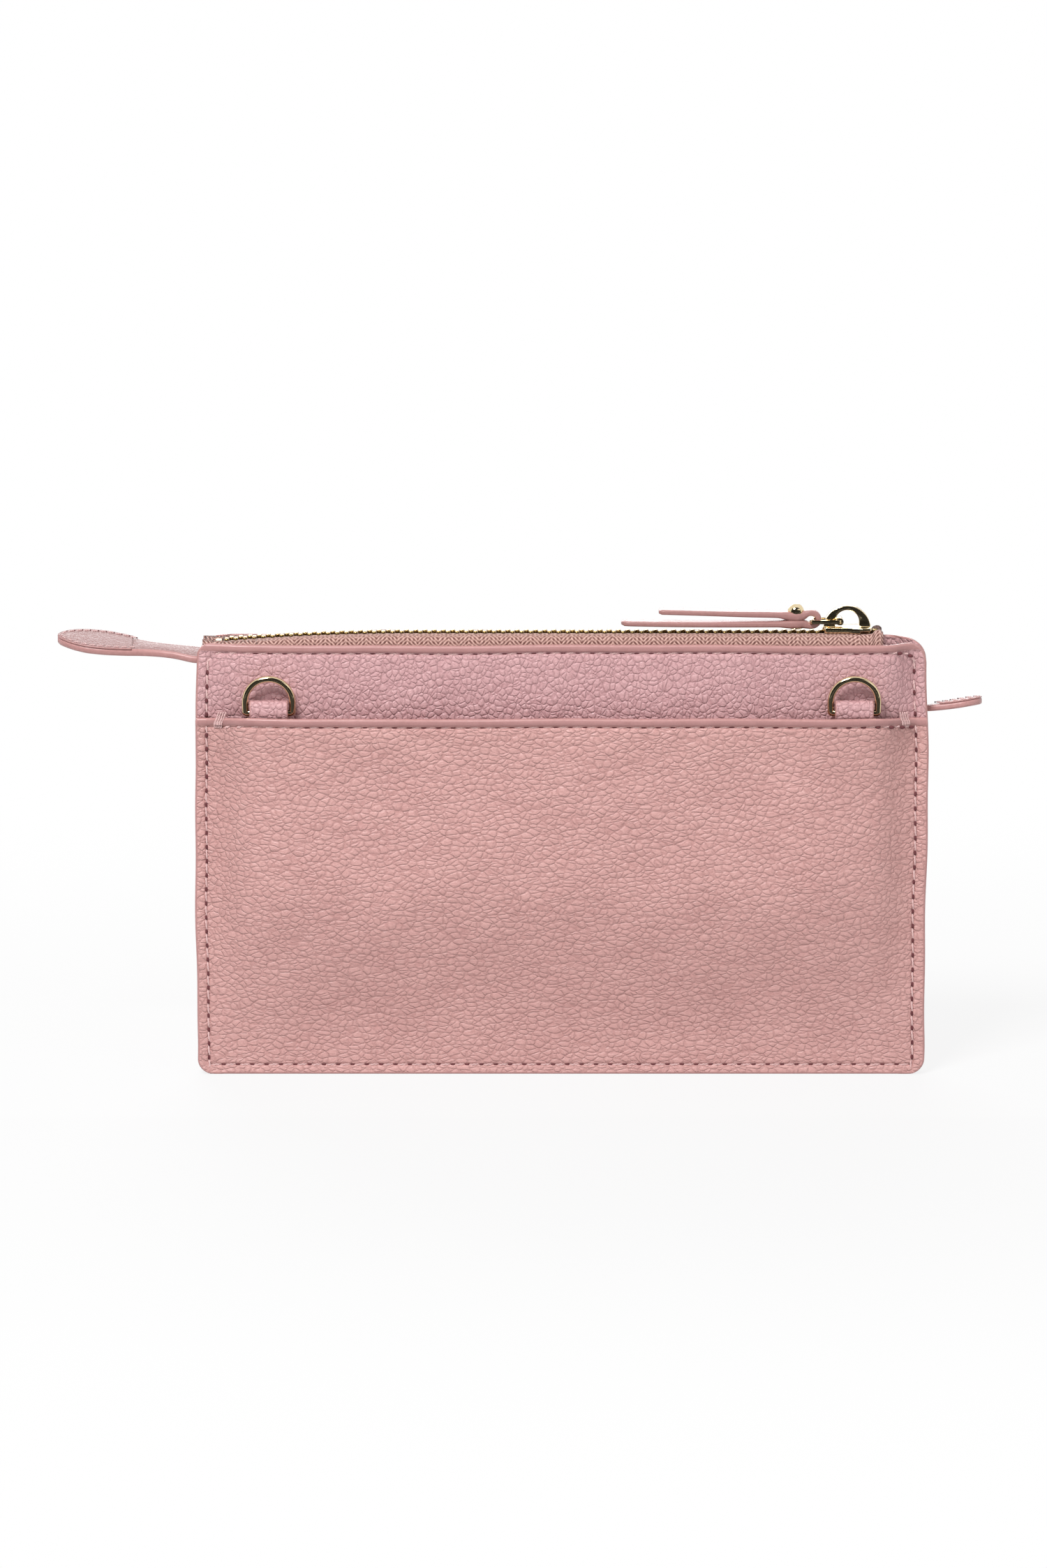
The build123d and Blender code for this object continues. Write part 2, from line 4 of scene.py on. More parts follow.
import bmesh
import bpy
import numpy as np
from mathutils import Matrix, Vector


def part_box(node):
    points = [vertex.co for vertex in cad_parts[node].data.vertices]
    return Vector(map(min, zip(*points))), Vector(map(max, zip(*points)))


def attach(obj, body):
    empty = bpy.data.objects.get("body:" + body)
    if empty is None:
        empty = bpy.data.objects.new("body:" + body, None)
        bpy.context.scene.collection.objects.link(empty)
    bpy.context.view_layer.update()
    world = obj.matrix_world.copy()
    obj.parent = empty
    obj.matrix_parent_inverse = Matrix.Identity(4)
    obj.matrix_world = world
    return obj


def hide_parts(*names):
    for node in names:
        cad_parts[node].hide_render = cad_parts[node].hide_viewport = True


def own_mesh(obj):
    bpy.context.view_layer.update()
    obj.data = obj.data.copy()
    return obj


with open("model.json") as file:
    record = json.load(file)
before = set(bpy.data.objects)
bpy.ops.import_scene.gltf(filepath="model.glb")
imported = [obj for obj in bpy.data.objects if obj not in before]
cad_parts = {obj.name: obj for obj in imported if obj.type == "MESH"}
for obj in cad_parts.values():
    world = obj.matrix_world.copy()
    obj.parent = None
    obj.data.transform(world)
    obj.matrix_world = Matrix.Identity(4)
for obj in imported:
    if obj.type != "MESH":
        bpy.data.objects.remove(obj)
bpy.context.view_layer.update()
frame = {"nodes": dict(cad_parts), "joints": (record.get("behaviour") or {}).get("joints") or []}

# Zip-top leather wristlet pouch. Lengths below are in millimetres, meshes in metres.
# The slip pocket and the D-rings face -Y, the zipped front pocket faces +Y, +Z is up.

MM = 0.001

# --- sizes ----------------------------------------------------------------------------------------
HALF_WIDTH = 108.0
BODY_HEIGHT = 129.3          # back wall's top edge
MIDDLE_HEIGHT = 130.8
POCKET_HEIGHT = 108.4
FRONT_HEIGHT = 109.0
LEATHER = 1.2                # thickness of a wall
LINING = 0.3
PLY_GAP = 0.12               # air between two plies that lie on each other
PLY = LINING + 1.5 * PLY_GAP
SEAM = 3.5                   # width of the sewn edge at the sides and the foot
MAIN_GAP = 8.6               # main compartment, wall to wall, at its fullest
POCKET_GAP = 5.4             # slip pocket at its mouth
FRONT_GAP = 5.6              # front pocket, at its fullest below the zip
SIDE_RUN = 30                # how far from the side seam a wall reaches its full bulge
POCKET_RUN = 13              # the same for the slip pocket
FOOT_RUN = 58                # the same, up from the foot
MAIN_CORNER = 6.4            # what is left of the main mouth where the zip's tail leaves it
MAIN_FLARE = 4.6             # what the mouth gains from there on
FRONT_CORNER = 6.8
FRONT_MOUTH = 4.5            # front zip's plane to the wall at the mouth
MOUTH_DROP = 42.0            # height below a mouth over which the wall flares to it
MOUTH_SHUT = 9.5             # length over which a mouth shuts beyond the closed slider
MAIN_Y = -PLY - LEATHER / 2  # main zip's plane
STITCH_PITCH = 4.24
TOOTH_PITCH = 2.7            # along one row of the main zip
FRONT_SCALE = 0.75           # the front zip is the same zip, three quarters of the size
SPREAD_RUN = 5.2             # length over which the slider parts the two rows
SPREAD_SLOPE = 0.3           # how fast it parts them
DIP_START = -45              # where the main chain starts to sink towards its tail
DIP_RUN = 55                 # length over which it would sink by its whole dip
TAIL_STRETCH = 9.0           # length at the tail over which the rows never part
TAPE = 0.5                   # thickness of the zip tape
TAPE_CORD = 1.9              # zip's middle to the tape's corded edge
TAPE_HEM = 8                 # how far the tape reaches down inside a wall
TAPE_PAST_TAIL = 7           # how far the tape runs on behind the last tooth
TAPE_PAST_SLIDER = 10.4      # and beyond the closed slider's middle
BOTTOM_STOP = 2.4            # bottom stop's middle behind the last tooth
TOP_STOP = 8.45              # top stops' middles beyond the closed slider's
STUD_SETBACK = 4.6           # ring's bar to the ball stud
LOWER_LEG = 55.7             # ring's bar to the tip of a pull's lower leg
UPPER_LEG = 44.7
RING_WIRE = 0.95             # radius of a D-ring's wire
RING_RISE = 9.95             # the bow's height above the bar, by which the ring's lean is found

PIVOTS = {joint["name"]: Vector(joint["pos_m"]) / MM for joint in frame["joints"] if joint.get("pos_m")}
SLIDER_X = PIVOTS["main_link_hinge"].x
FRONT_CHAIN_Y = PIVOTS["front_link_hinge"].y


# --- shape of the walls, as in the solids but smooth ----------------------------------------------
def ease(value, low, high):
    share = np.clip((value - low) / (high - low), 0, 1)
    return share * share * (3 - 2 * share)


def side_ease(x, run):
    return ease(HALF_WIDTH - SEAM - np.abs(x), 0, run)


def belly(x, z, gap):
    return gap * side_ease(x, SIDE_RUN) * ease(z, SEAM, SEAM + FOOT_RUN)


def main_gap(x, z):
    share = ease(z, BODY_HEIGHT - MOUTH_DROP, BODY_HEIGHT - 5)
    mouth = MAIN_CORNER + MAIN_FLARE * ease(HALF_WIDTH + x, 0, 16)
    mouth = mouth * ease(HALF_WIDTH - SEAM - x, 0, MOUTH_SHUT)
    return belly(x, z, MAIN_GAP) * (1 - share) + mouth * share


def back_inner(x, z):
    return MAIN_Y - main_gap(x, z) / 2 - PLY


def back_outer(x, z):
    return back_inner(x, z) - LEATHER


def middle_inner(x, z):
    return MAIN_Y + main_gap(x, z) / 2 + PLY


def middle_outer(x, z):
    return middle_inner(x, z) + LEATHER


def pocket_outer(x, z):
    fullness = side_ease(x, POCKET_RUN) * ease(z, SEAM, SEAM + FOOT_RUN)
    return back_outer(x, z) - PLY_GAP - POCKET_GAP * fullness - LEATHER


def front_inner(x, z):
    share = ease(z, FRONT_HEIGHT - MOUTH_DROP, FRONT_HEIGHT - 4)
    seam = middle_outer(x, z) + 2 * PLY
    shut = ease(HALF_WIDTH - SEAM + x, 0, MOUTH_SHUT)
    corner = seam + FRONT_CORNER
    level = FRONT_CHAIN_Y + FRONT_MOUTH
    mouth = seam + (corner + (level - corner) * ease(HALF_WIDTH - x, 0, 26) - seam) * shut
    return (seam + belly(x, z, FRONT_GAP)) * (1 - share) + mouth * share


def front_outer(x, z):
    return front_inner(x, z) + LEATHER


def ripple(x, z):
    """Slow unevenness of soft leather, the same in every ply, so that none cuts another."""
    calm = 1 - np.exp(-((np.abs(x) - 85.5) / 15) ** 2 - ((z - 110) / 14) ** 2)
    calm = calm * side_ease(x, 22) * ease(z, 4, 30) * (1 - 0.8 * ease(z, 112, 127))
    waves = 0.34 * np.sin(0.043 * x + 0.031 * z + 1.0) + 0.24 * np.sin(-0.061 * x + 0.083 * z + 4.1)
    waves = waves + 0.13 * np.sin(0.13 * x + 0.09 * z + 2.2) + 0.08 * np.sin(-0.17 * x + 0.21 * z + 5.0)
    return waves * calm


# --- meshes ---------------------------------------------------------------------------------------
def placed(name, data):
    """A new object in the scene."""
    obj = bpy.data.objects.new(name, data)
    bpy.context.scene.collection.objects.link(obj)
    return obj


def carry(mesh, attribute, vectors):
    """Stores one vector at each point of a mesh."""
    store = mesh.attributes.new(attribute, "FLOAT_VECTOR", "POINT")
    store.data.foreach_set("vector", [c for vector in vectors for c in vector])


def outlined(name, points, edges, attribute, vectors):
    """Points in millimetres joined by edges, with a vector at each, for a Geometry Nodes tree."""
    mesh = bpy.data.meshes.new(name)
    mesh.from_pydata([tuple(c * MM for c in p) for p in points], edges, [])
    carry(mesh, attribute, vectors)
    return placed(name, mesh)


def finished_mesh(obj):
    """The object's mesh as its modifiers leave it."""
    graph = bpy.context.evaluated_depsgraph_get()
    return bpy.data.meshes.new_from_object(obj.evaluated_get(graph))


def smooth(mesh):
    """Shades every face smooth."""
    mesh.polygons.foreach_set("use_smooth", [True] * len(mesh.polygons))


def two_skins(rows, columns):
    """Faces of two grids of points, one behind the other, and then of the border that joins them."""
    other = rows * columns
    faces = []
    for j in range(rows - 1):
        for i in range(columns - 1):
            a = j * columns + i
            b = a + columns
            faces.append((a, a + 1, b + 1, b))
            faces.append((other + a, other + b, other + b + 1, other + a + 1))
    border = list(range(columns)) + [j * columns + columns - 1 for j in range(1, rows)]
    border += [(rows - 1) * columns + i for i in range(columns - 2, -1, -1)]
    border += [j * columns for j in range(rows - 2, 0, -1)]
    return faces + [(a, other + a, other + b, b) for a, b in zip(border, border[1:] + border[:1])]


def closed_mesh(name, points, faces):
    """A mesh from points in millimetres, its faces turned outwards."""
    mesh = bpy.data.meshes.new(name)
    mesh.from_pydata([tuple(c * MM for c in p) for p in points], [], faces)
    work = bmesh.new()
    work.from_mesh(mesh)
    bmesh.ops.recalc_face_normals(work, faces=work.faces)
    work.to_mesh(mesh)
    work.free()
    return mesh


def piece(name, shape, materials, kinds=None, body="pouch", replaces=(), weave=None):
    """A finished smooth piece. shape is its points in millimetres and its faces, kinds their materials."""
    mesh = closed_mesh(name, *shape)
    for material in materials:
        mesh.materials.append(material)
    if kinds is not None:
        mesh.polygons.foreach_set("material_index", list(kinds))
    smooth(mesh)
    if weave:
        carry(mesh, "weave", weave)
    return settle(placed(name, mesh), body, replaces)


def settle(obj, body, replaces=()):
    """Puts a finished piece on its body, and hides the solids it stands for."""
    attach(obj, body)
    if replaces:
        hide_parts(*replaces)
    return obj


def tube(rings, closed=False):
    """Faces that join rings of points one after another, with a fan on each open end."""
    count = len(rings[0])
    points = [p for ring in rings for p in ring]
    faces = []
    for i in range(len(rings) if closed else len(rings) - 1):
        a, b = i * count, (i + 1) % len(rings) * count
        for j in range(count):
            k = (j + 1) % count
            faces.append((a + j, a + k, b + k, b + j))
    if not closed:
        faces.append(tuple(reversed(range(count))))
        faces.append(tuple(range(len(points) - count, len(points))))
    return points, faces


def lathe(profile, place, steps):
    """A turned piece from (radius, height) pairs about the vertical through place."""
    rings = []
    for radius, height in profile:
        rings.append([(place[0] + radius * math.cos(2 * math.pi * i / steps),
                       place[1] + radius * math.sin(2 * math.pi * i / steps),
                       place[2] + height) for i in range(steps)])
    return tube(rings)


def ribbon_section(half_width, half_thick, notch):
    """Outline of a strap's section with rounded edges, and a groove round the edge between plies."""
    r = half_thick * 0.82
    flat = half_width - r

    def edge(side, turns):
        return [(side * (flat + r * math.cos(a)), half_thick * math.sin(a)) for a in map(math.radians, turns)]
    ring = [(share * flat, half_thick - dent) for share, dent in
            ((-1, 0), (-0.86, 0.05), (-0.8, 0), (0, 0), (0.8, 0), (0.86, 0.05), (1, 0))]
    ring += edge(1, (65, 40, 16)) + [(half_width - notch, 0)] + edge(1, (-16, -40, -65))
    ring += [(flat, -half_thick), (0, -half_thick), (-flat, -half_thick)]
    return ring + edge(-1, (-65, -40, -16)) + [(notch - half_width, 0)] + edge(-1, (16, 40, 65))


RIBBON_EDGE = set(range(6, 14)) | set(range(16, 24))     # section sides that are painted edge


def left_of(path, i, closed=False):
    """The two parts of a unit vector square to a flat path at its point i, towards its left."""
    if closed:
        ahead, behind = path[(i + 1) % len(path)], path[i - 1]
    else:
        ahead, behind = path[min(i + 1, len(path) - 1)], path[max(i - 1, 0)]
    along = Vector((ahead[0] - behind[0], 0, ahead[1] - behind[1])).normalized()
    return -along.z, along.x


def strap(name, rings, leather, paint, body="pouch", replaces=()):
    """A finished strap from rings of ribbon_section, with painted edges and ends."""
    sides = len(rings[0])
    kinds = [1 if f % sides in RIBBON_EDGE else 0 for f in range(sides * (len(rings) - 1))] + [1, 1]
    return piece(name, tube(rings), [leather, paint], kinds, body, replaces)


def stations(length, low_seam, high_seam, step):
    """Places across a wall, close together at its edges and seams."""
    near = [0, 0.06, 0.18, 0.36, 0.6, 1.0, 1.5]

    def half(seam):
        places = near + [seam + d for d in (-0.75, -0.45, -0.22, 0, 0.22, 0.45, 0.75, 1.3, 2.2, 3.6, 5.4)]
        return sorted(places)
    low = half(low_seam)
    high = [length - place for place in reversed(half(high_seam))]
    count = int((high[0] - low[-1]) / step)
    middle = list(np.linspace(low[-1], high[0], count + 1)[1:-1])
    return np.array(low + middle + high)


class Wall:
    """One leather wall: its shown face, outline, seams and edge."""

    left_seam = 3.3          # lines of stitches, in from the edges
    right_seam = 3.7
    foot_seam = 2.9

    def __init__(self, face, out, height, corners, top_seam, thickness=LEATHER, fold=0.0, inset=0.0,
                 seam_turn=4.0, corner_droop=0.0, seam_fill=0.0):
        self.face = face
        self.out = out
        self.height = height
        self.foot_radius, self.left_radius, self.right_radius = corners
        self.top_seam = top_seam
        self.thickness = thickness
        self.fold = fold
        self.inset = inset
        self.seam_turn = seam_turn
        self.corner_droop = corner_droop
        self.seam_fill = seam_fill

    def limit(self, x, z):
        """Half width of the outline at this height, on the side where x lies."""
        foot = np.clip(self.foot_radius - z, 0, self.foot_radius)
        top_radius = np.where(x < 0, self.left_radius, self.right_radius)
        top = np.clip(top_radius - (self.height - z), 0, top_radius)
        cut = self.foot_radius - np.sqrt(self.foot_radius ** 2 - foot ** 2)
        cut = cut + top_radius - np.sqrt(np.maximum(top_radius ** 2 - top ** 2, 0))
        waver = 0.22 * np.sin(0.071 * z + 2 * np.sign(x)) + 0.12 * np.sin(0.19 * z + 1.3 * np.sign(x))
        drawn_in = np.where(x < 0, 1.2, 0.5) * ease(z, 96, 130)
        return HALF_WIDTH - self.inset - 0.3 - cut - drawn_in + waver * ease(z, 2, 12)

    def place(self, x, z, lift=0.0, depth=None):
        """Points on the wall: lift above its shown face, or at a share of its depth."""
        x = np.asarray(x, float)
        z = np.asarray(z, float) + 0 * x
        bound = self.limit(x, z)
        real_x = x * bound / HALF_WIDTH
        top_waver = 0.14 * np.sin(0.047 * x + 0.6) + 0.08 * np.sin(0.12 * x + 2.0)
        droop = self.corner_droop * (1 - ease(HALF_WIDTH - np.abs(x), 1, 17))
        real_z = z + (top_waver - 0.15 - droop) * ease(z, self.height * 0.6, self.height)
        edge = np.minimum(bound - np.abs(real_x), np.minimum(z - self.inset, self.height - z))
        round_off = 1 - np.clip(edge / 0.6, 0, 1)
        half = self.thickness / 2 * np.sqrt(np.maximum(1 - round_off ** 2, 0.02))
        middle = self.face(real_x, np.maximum(real_z, 0)) - self.out * self.thickness / 2
        middle = middle + ripple(real_x, real_z)
        if depth is not None:
            y = middle + self.out * half * (1 - 2 * depth)
            pressed = 1 - ease(np.minimum(bound - np.abs(real_x), z - self.inset), 2.4, 4.4)
            y = y - self.out * depth * self.seam_fill * pressed
            if depth < 0.5:
                y = y + self.out * self.relief(x, z)
        else:
            y = middle + self.out * (half + lift + self.relief(x, z))
        return np.stack([real_x, y, real_z], -1)

    def relief(self, x, z):
        """Grooves under the stitches, and the second layer where the top edge is turned over."""
        top = self.height - z
        side = np.where(x < 0, HALF_WIDTH + x - self.left_seam, HALF_WIDTH - x - self.right_seam)
        below = top - self.top_seam
        turn = self.seam_turn
        corner = turn - np.hypot(np.maximum(turn - below, 0), np.maximum(turn - side, 0))
        inside = np.minimum(np.minimum(side, below), z - self.foot_seam)
        inside = np.where((below < turn) & (side < turn), corner, inside)
        groove = -0.5 * np.exp(-(inside / 0.36) ** 2) - 0.14 * np.exp(-(inside / 1.1) ** 2)
        across = np.clip(top / self.top_seam, 0, 1)
        roll = self.fold * (4 * across * (1 - across)) ** 0.7
        margin = np.clip((HALF_WIDTH - np.abs(x)) / self.left_seam, 0, 1)
        rim = 0.18 * (4 * margin * (1 - margin)) ** 0.8 * ease(top, 0, 6)
        return groove + roll + rim

    def seam(self, stops, lift):
        """Points along a seam that runs straight from stop to stop, each (x, z)."""
        x, z = [stops[0][0]], [stops[0][1]]
        for start, end in zip(stops, stops[1:]):
            count = int(math.dist(start, end) / 1.0) + 2
            x += list(np.linspace(start[0], end[0], count)[1:])
            z += list(np.linspace(start[1], end[1], count)[1:])
        return self.place(np.array(x), np.array(z), lift=lift)

    def mesh(self, step=2.4):
        """Points and faces, and each face's kind: 0 leather, 1 painted edge, 2 turned edge."""
        across = stations(2 * HALF_WIDTH, self.left_seam, self.right_seam, step) - HALF_WIDTH
        up = stations(self.height - self.inset, self.foot_seam, self.top_seam, step) + self.inset
        x, z = np.meshgrid(across, up)
        shown = self.place(x, z, depth=0.0)
        hidden = self.place(x, z, depth=1.0)
        rows, columns = x.shape
        points = np.concatenate([shown.reshape(-1, 3), hidden.reshape(-1, 3)])
        faces = two_skins(rows, columns)
        top_band = self.height - self.top_seam + 0.35
        kinds = []
        for j in range(rows - 1):
            for i in range(columns - 1):
                near_edge = min(i, j, columns - 2 - i, rows - 2 - j) < 4
                kinds += [1, 1] if near_edge else [2 if z[j, i] > top_band else 0, 0]
        return (points, faces), kinds + [1] * (len(faces) - len(kinds))


# --- materials ------------------------------------------------------------------------------------
def linear(code):
    """An sRGB hex colour as linear red, green, blue and alpha."""
    parts = [int(code[i:i + 2], 16) / 255 for i in (0, 2, 4)]
    return tuple(c / 12.92 if c <= 0.04045 else ((c + 0.055) / 1.055) ** 2.4 for c in parts) + (1.0,)


def feed(tree, target, inputs):
    """Gives a node's inputs their values, or links them to nodes or (node, output) pairs."""
    for key, source in inputs.items():
        if isinstance(source, bpy.types.Node):
            source = (source, 0)
        if isinstance(source, tuple) and isinstance(source[0], bpy.types.Node):
            tree.links.new(source[0].outputs[source[1]], target.inputs[key])
        else:
            target.inputs[key].default_value = source


def node(tree, kind, inputs=None, **settings):
    """Adds a node: settings are its properties or input values, inputs are as in feed."""
    new = tree.nodes.new(kind)
    for key, value in settings.items():
        if hasattr(new, key):
            setattr(new, key, value)
        else:
            new.inputs[key.replace("_", " ")].default_value = value
    feed(tree, new, inputs or {})
    return new


def material(name):
    made = bpy.data.materials.new(name)
    made.use_nodes = True
    tree = made.node_tree
    return made, tree, tree.nodes["Principled BSDF"]


def in_mm(tree, stretch=(1, 1, 1), turn=0.0):
    """Object coordinates in millimetres, turned about Y and stretched."""
    coordinates = node(tree, "ShaderNodeTexCoord")
    return node(tree, "ShaderNodeMapping", {"Vector": (coordinates, "Object")},
                Scale=tuple(1000 * s for s in stretch), Rotation=(0, turn, 0))


def weighted_sum(tree, parts):
    """Sum of outputs, each times its weight."""
    total = 0.0
    for source, weight in parts:
        total = node(tree, "ShaderNodeMath", {0: source, 1: weight, 2: total}, operation="MULTIPLY_ADD")
    return total


def finish(tree, skin, shade, high, low, height, strength, depth, **settings):
    """Skin coloured between two hex colours by shade, and raised by height to depth millimetres."""
    colour = node(tree, "ShaderNodeMix", {0: shade, 6: linear(low), 7: linear(high)}, data_type="RGBA")
    bump = node(tree, "ShaderNodeBump", {"Height": height}, Strength=strength, Distance=depth * MM)
    feed(tree, skin, {"Base Color": (colour, 2), "Normal": bump})
    feed(tree, skin, {key.replace("_", " "): value for key, value in settings.items()})


def pebbled_leather(name, high, low, cell, relief, stretch, turn):
    """Full-grain cowhide, drum-tumbled so that it pebbles: small pads between soft creases, satin.

    cell is the pads' width in millimetres, from 1.1 on thin leather to 1.9 on thick.
    """
    made, tree, skin = material(name)
    place = in_mm(tree, stretch, turn)
    drift = node(tree, "ShaderNodeTexNoise", {"Vector": place}, Scale=0.2, Detail=2.0, Roughness=0.5)
    middle = node(tree, "ShaderNodeVectorMath", {0: (drift, "Color"), 1: (0.5, 0.5, 0.5)},
                  operation="SUBTRACT")
    push = node(tree, "ShaderNodeVectorMath", {0: middle, 3: 1.5 * cell}, operation="SCALE")
    bent = node(tree, "ShaderNodeVectorMath", {0: place, 1: push}, operation="ADD")
    pebbles = node(tree, "ShaderNodeTexVoronoi", {"Vector": bent}, Scale=1 / cell)
    edges = node(tree, "ShaderNodeTexVoronoi", {"Vector": bent}, feature="DISTANCE_TO_EDGE", Scale=1 / cell)
    small = node(tree, "ShaderNodeTexVoronoi", {"Vector": bent}, feature="DISTANCE_TO_EDGE",
                 Scale=2.3 / cell)
    pores = node(tree, "ShaderNodeTexNoise", {"Vector": place}, Scale=1.6, Detail=2.5, Roughness=0.6)
    soft = node(tree, "ShaderNodeTexNoise", {"Vector": place}, Scale=0.12, Detail=3.0)
    pads = node(tree, "ShaderNodeMapRange", {"Value": edges, "From Max": 0.2},
                interpolation_type="SMOOTHSTEP")
    grains = node(tree, "ShaderNodeMapRange", {"Value": small, "From Max": 0.2},
                  interpolation_type="SMOOTHSTEP")
    dome = node(tree, "ShaderNodeMath", {0: (pebbles, "Distance"), 1: (pebbles, "Distance")},
                operation="MULTIPLY")
    height = weighted_sum(tree, [(pads, 0.42), (dome, -0.9), (grains, 0.12), (pores, 0.16), (soft, 0.5)])
    # Colour: slow tone and pores at random, and the creases a little darker than the pads, which is painted
    # shade on top of the bump's own.
    shade = weighted_sum(tree, [(soft, 0.30), (pads, 0.13), (grains, 0.04), (pores, 0.40)])
    level = node(tree, "ShaderNodeMapRange", {"Value": shade, "From Min": 0.22, "From Max": 0.80})
    rough = node(tree, "ShaderNodeMapRange", {"Value": pores, "From Min": 0.3, "From Max": 0.7,
                                              "To Min": 0.36, "To Max": 0.52})
    finish(tree, skin, level, high, low, height, relief, 0.45, Roughness=rough, Specular_IOR_Level=0.5)
    return made


def smooth_leather(name, high, low, rough, relief):
    """Strap leather or a turned edge, pressed flat: fine pores only, a little shinier than the walls."""
    made, tree, skin = material(name)
    place = in_mm(tree)
    pores = node(tree, "ShaderNodeTexVoronoi", {"Vector": place}, Scale=1.9, Randomness=1.0)
    cloud = node(tree, "ShaderNodeTexNoise", {"Vector": place}, Scale=0.22, Detail=4.0)
    level = node(tree, "ShaderNodeMath", {0: pores, 1: 0.25, 2: cloud}, operation="MULTIPLY_ADD")
    finish(tree, skin, level, high, low, level, relief, 0.1, Roughness=rough, Specular_IOR_Level=0.45)
    return made


def painted_edge(name, high, low):
    """Edge paint, brushed on in coats: dense, slightly lumpy and glossier than the leather."""
    made, tree, skin = material(name)
    lumps = node(tree, "ShaderNodeTexNoise", {"Vector": in_mm(tree)}, Scale=0.8, Detail=3.0)
    finish(tree, skin, lumps, high, low, lumps, 0.35, 0.1, Roughness=0.36)
    return made


def sewing_thread(name, high, low):
    """Bonded polyester thread: fine slanted plies, which show as soft light and dark, and some sheen."""
    made, tree, skin = material(name)
    plies = node(tree, "ShaderNodeTexWave", {"Vector": in_mm(tree)}, Scale=1.3, Distortion=1.0)
    colour = node(tree, "ShaderNodeMix", {0: plies, 6: linear(low), 7: linear(high)}, data_type="RGBA")
    feed(tree, skin, {"Base Color": (colour, 2), "Roughness": 0.5, "Sheen Weight": 0.25})
    return made


def painted_hole_shade(name, high, low):
    """Needle hole, dark and without gloss: painted shade for the hollow of the hole."""
    made, tree, skin = material(name)
    fibre = node(tree, "ShaderNodeTexNoise", {"Vector": in_mm(tree)}, Scale=3.0)
    colour = node(tree, "ShaderNodeMix", {0: fibre, 6: linear(low), 7: linear(high)}, data_type="RGBA")
    feed(tree, skin, {"Base Color": (colour, 2), "Roughness": 0.85})
    return made


def woven_cloth(name, high, low, thread, relief, follow):
    """Woven polyester in a fine herringbone, matt with a little sheen.

    thread is the threads' spacing in millimetres, and follow the attribute that runs along and across.
    """
    made, tree, skin = material(name)
    if follow:
        along = node(tree, "ShaderNodeAttribute", attribute_name=follow, attribute_type="GEOMETRY")
        parts = node(tree, "ShaderNodeSeparateXYZ", {"Vector": (along, "Vector")})
        run, drop = (parts, "X"), (parts, "Y")
    else:
        parts = node(tree, "ShaderNodeSeparateXYZ", {"Vector": in_mm(tree)})
        run, drop = (parts, "X"), (parts, "Z")
    fold = node(tree, "ShaderNodeMath", {0: run, 1: 2.5 * thread}, operation="PINGPONG")
    slant = node(tree, "ShaderNodeMath", {0: drop, 1: fold}, operation="ADD")
    weft = node(tree, "ShaderNodeCombineXYZ", {"X": slant})
    warp = node(tree, "ShaderNodeCombineXYZ", {"X": run, "Y": drop})
    ribs = node(tree, "ShaderNodeTexWave", {"Vector": weft}, Scale=0.314 / thread)
    ends = node(tree, "ShaderNodeTexWave", {"Vector": warp}, Scale=0.314 / thread, Distortion=2.5,
                Detail=2.0, Detail_Scale=1.5)
    fuzz = node(tree, "ShaderNodeTexNoise", {"Vector": warp}, Scale=1.4 / thread, Detail=3.0)
    weave = weighted_sum(tree, [((ribs, "Fac"), 0.45), ((ends, "Fac"), 0.25), (fuzz, 0.65)])
    level = node(tree, "ShaderNodeMapRange", {"Value": weave, "From Min": 0.35, "From Max": 1.05})
    finish(tree, skin, level, high, low, weave, relief, 0.4, Roughness=0.85, Sheen_Weight=0.15)
    return made


def plated_brass(name, high, low, rough):
    """Die-cast or stamped brass under light gold plating, polished: bright, with faint rub marks."""
    made, tree, skin = material(name)
    rubs = node(tree, "ShaderNodeTexNoise", {"Vector": in_mm(tree)}, Scale=0.9, Detail=5.0, Roughness=0.65)
    gloss = node(tree, "ShaderNodeMapRange", {"Value": rubs, "To Min": 0.7 * rough, "To Max": 1.4 * rough})
    finish(tree, skin, rubs, high, low, rubs, 0.12, 0.05, Roughness=gloss, Metallic=1.0)
    return made


UPPER_LEATHER = pebbled_leather("pebbled_cowhide_upper", "DCB1B2", "BA8B8E", 1.62, 0.85, (1, 1, 0.9), 0.3)
POCKET_LEATHER = pebbled_leather("pebbled_cowhide_pocket", "DCADA8", "BA8985", 1.85, 0.85,
                                 (0.78, 1, 1.22), 0.42)
# The tail tabs take a much darker copy of the pink cowhide: painted shade that offsets the stronger light on
# their upward faces.
TAB_LEATHER_PAINTED_SHADE = pebbled_leather("tab_cowhide", "A27E7C", "906C6A", 1.1, 0.25, (1, 1, 1), 0.3)
TURNED_LEATHER = smooth_leather("turned_edge_cowhide", "B88987", "9F7270", 0.45, 0.5)
STRAP_LEATHER = smooth_leather("strap_cowhide", "CFA09E", "B68682", 0.4, 0.35)
EDGE_PAINT = painted_edge("edge_paint_pink", "C39390", "A97A77")
PULL_PAINT = painted_edge("edge_paint_pull", "AC807C", "986E6A")
THREAD = sewing_thread("bonded_polyester_thread", "EBCBC8", "BF9290")
# Needle holes are dark red-brown pits: painted shade that stands for the hollow of each hole.
HOLE_SHADE = painted_hole_shade("needle_hole", "7A4044", "4A2428")
# The tape's threads lie about 0.5 mm apart, too fine to show, so they are drawn 1.2 mm apart.
TAPE_CLOTH = woven_cloth("woven_polyester_tape", "E0B7AB", "70433C", 1.2, 1.0, "weave")
# The lining's threads lie about 0.3 mm apart, and are drawn 0.6 mm apart for the same reason.
LINING_CLOTH = woven_cloth("twill_lining", "CDB1A2", "A98B7B", 0.6, 0.5, None)
TEETH_METAL = plated_brass("brass_zip_teeth", "BFA46C", "80653A", 0.26)
PLATED_GOLD = plated_brass("light_gold_plate", "F0DFBB", "DCC599", 0.12)

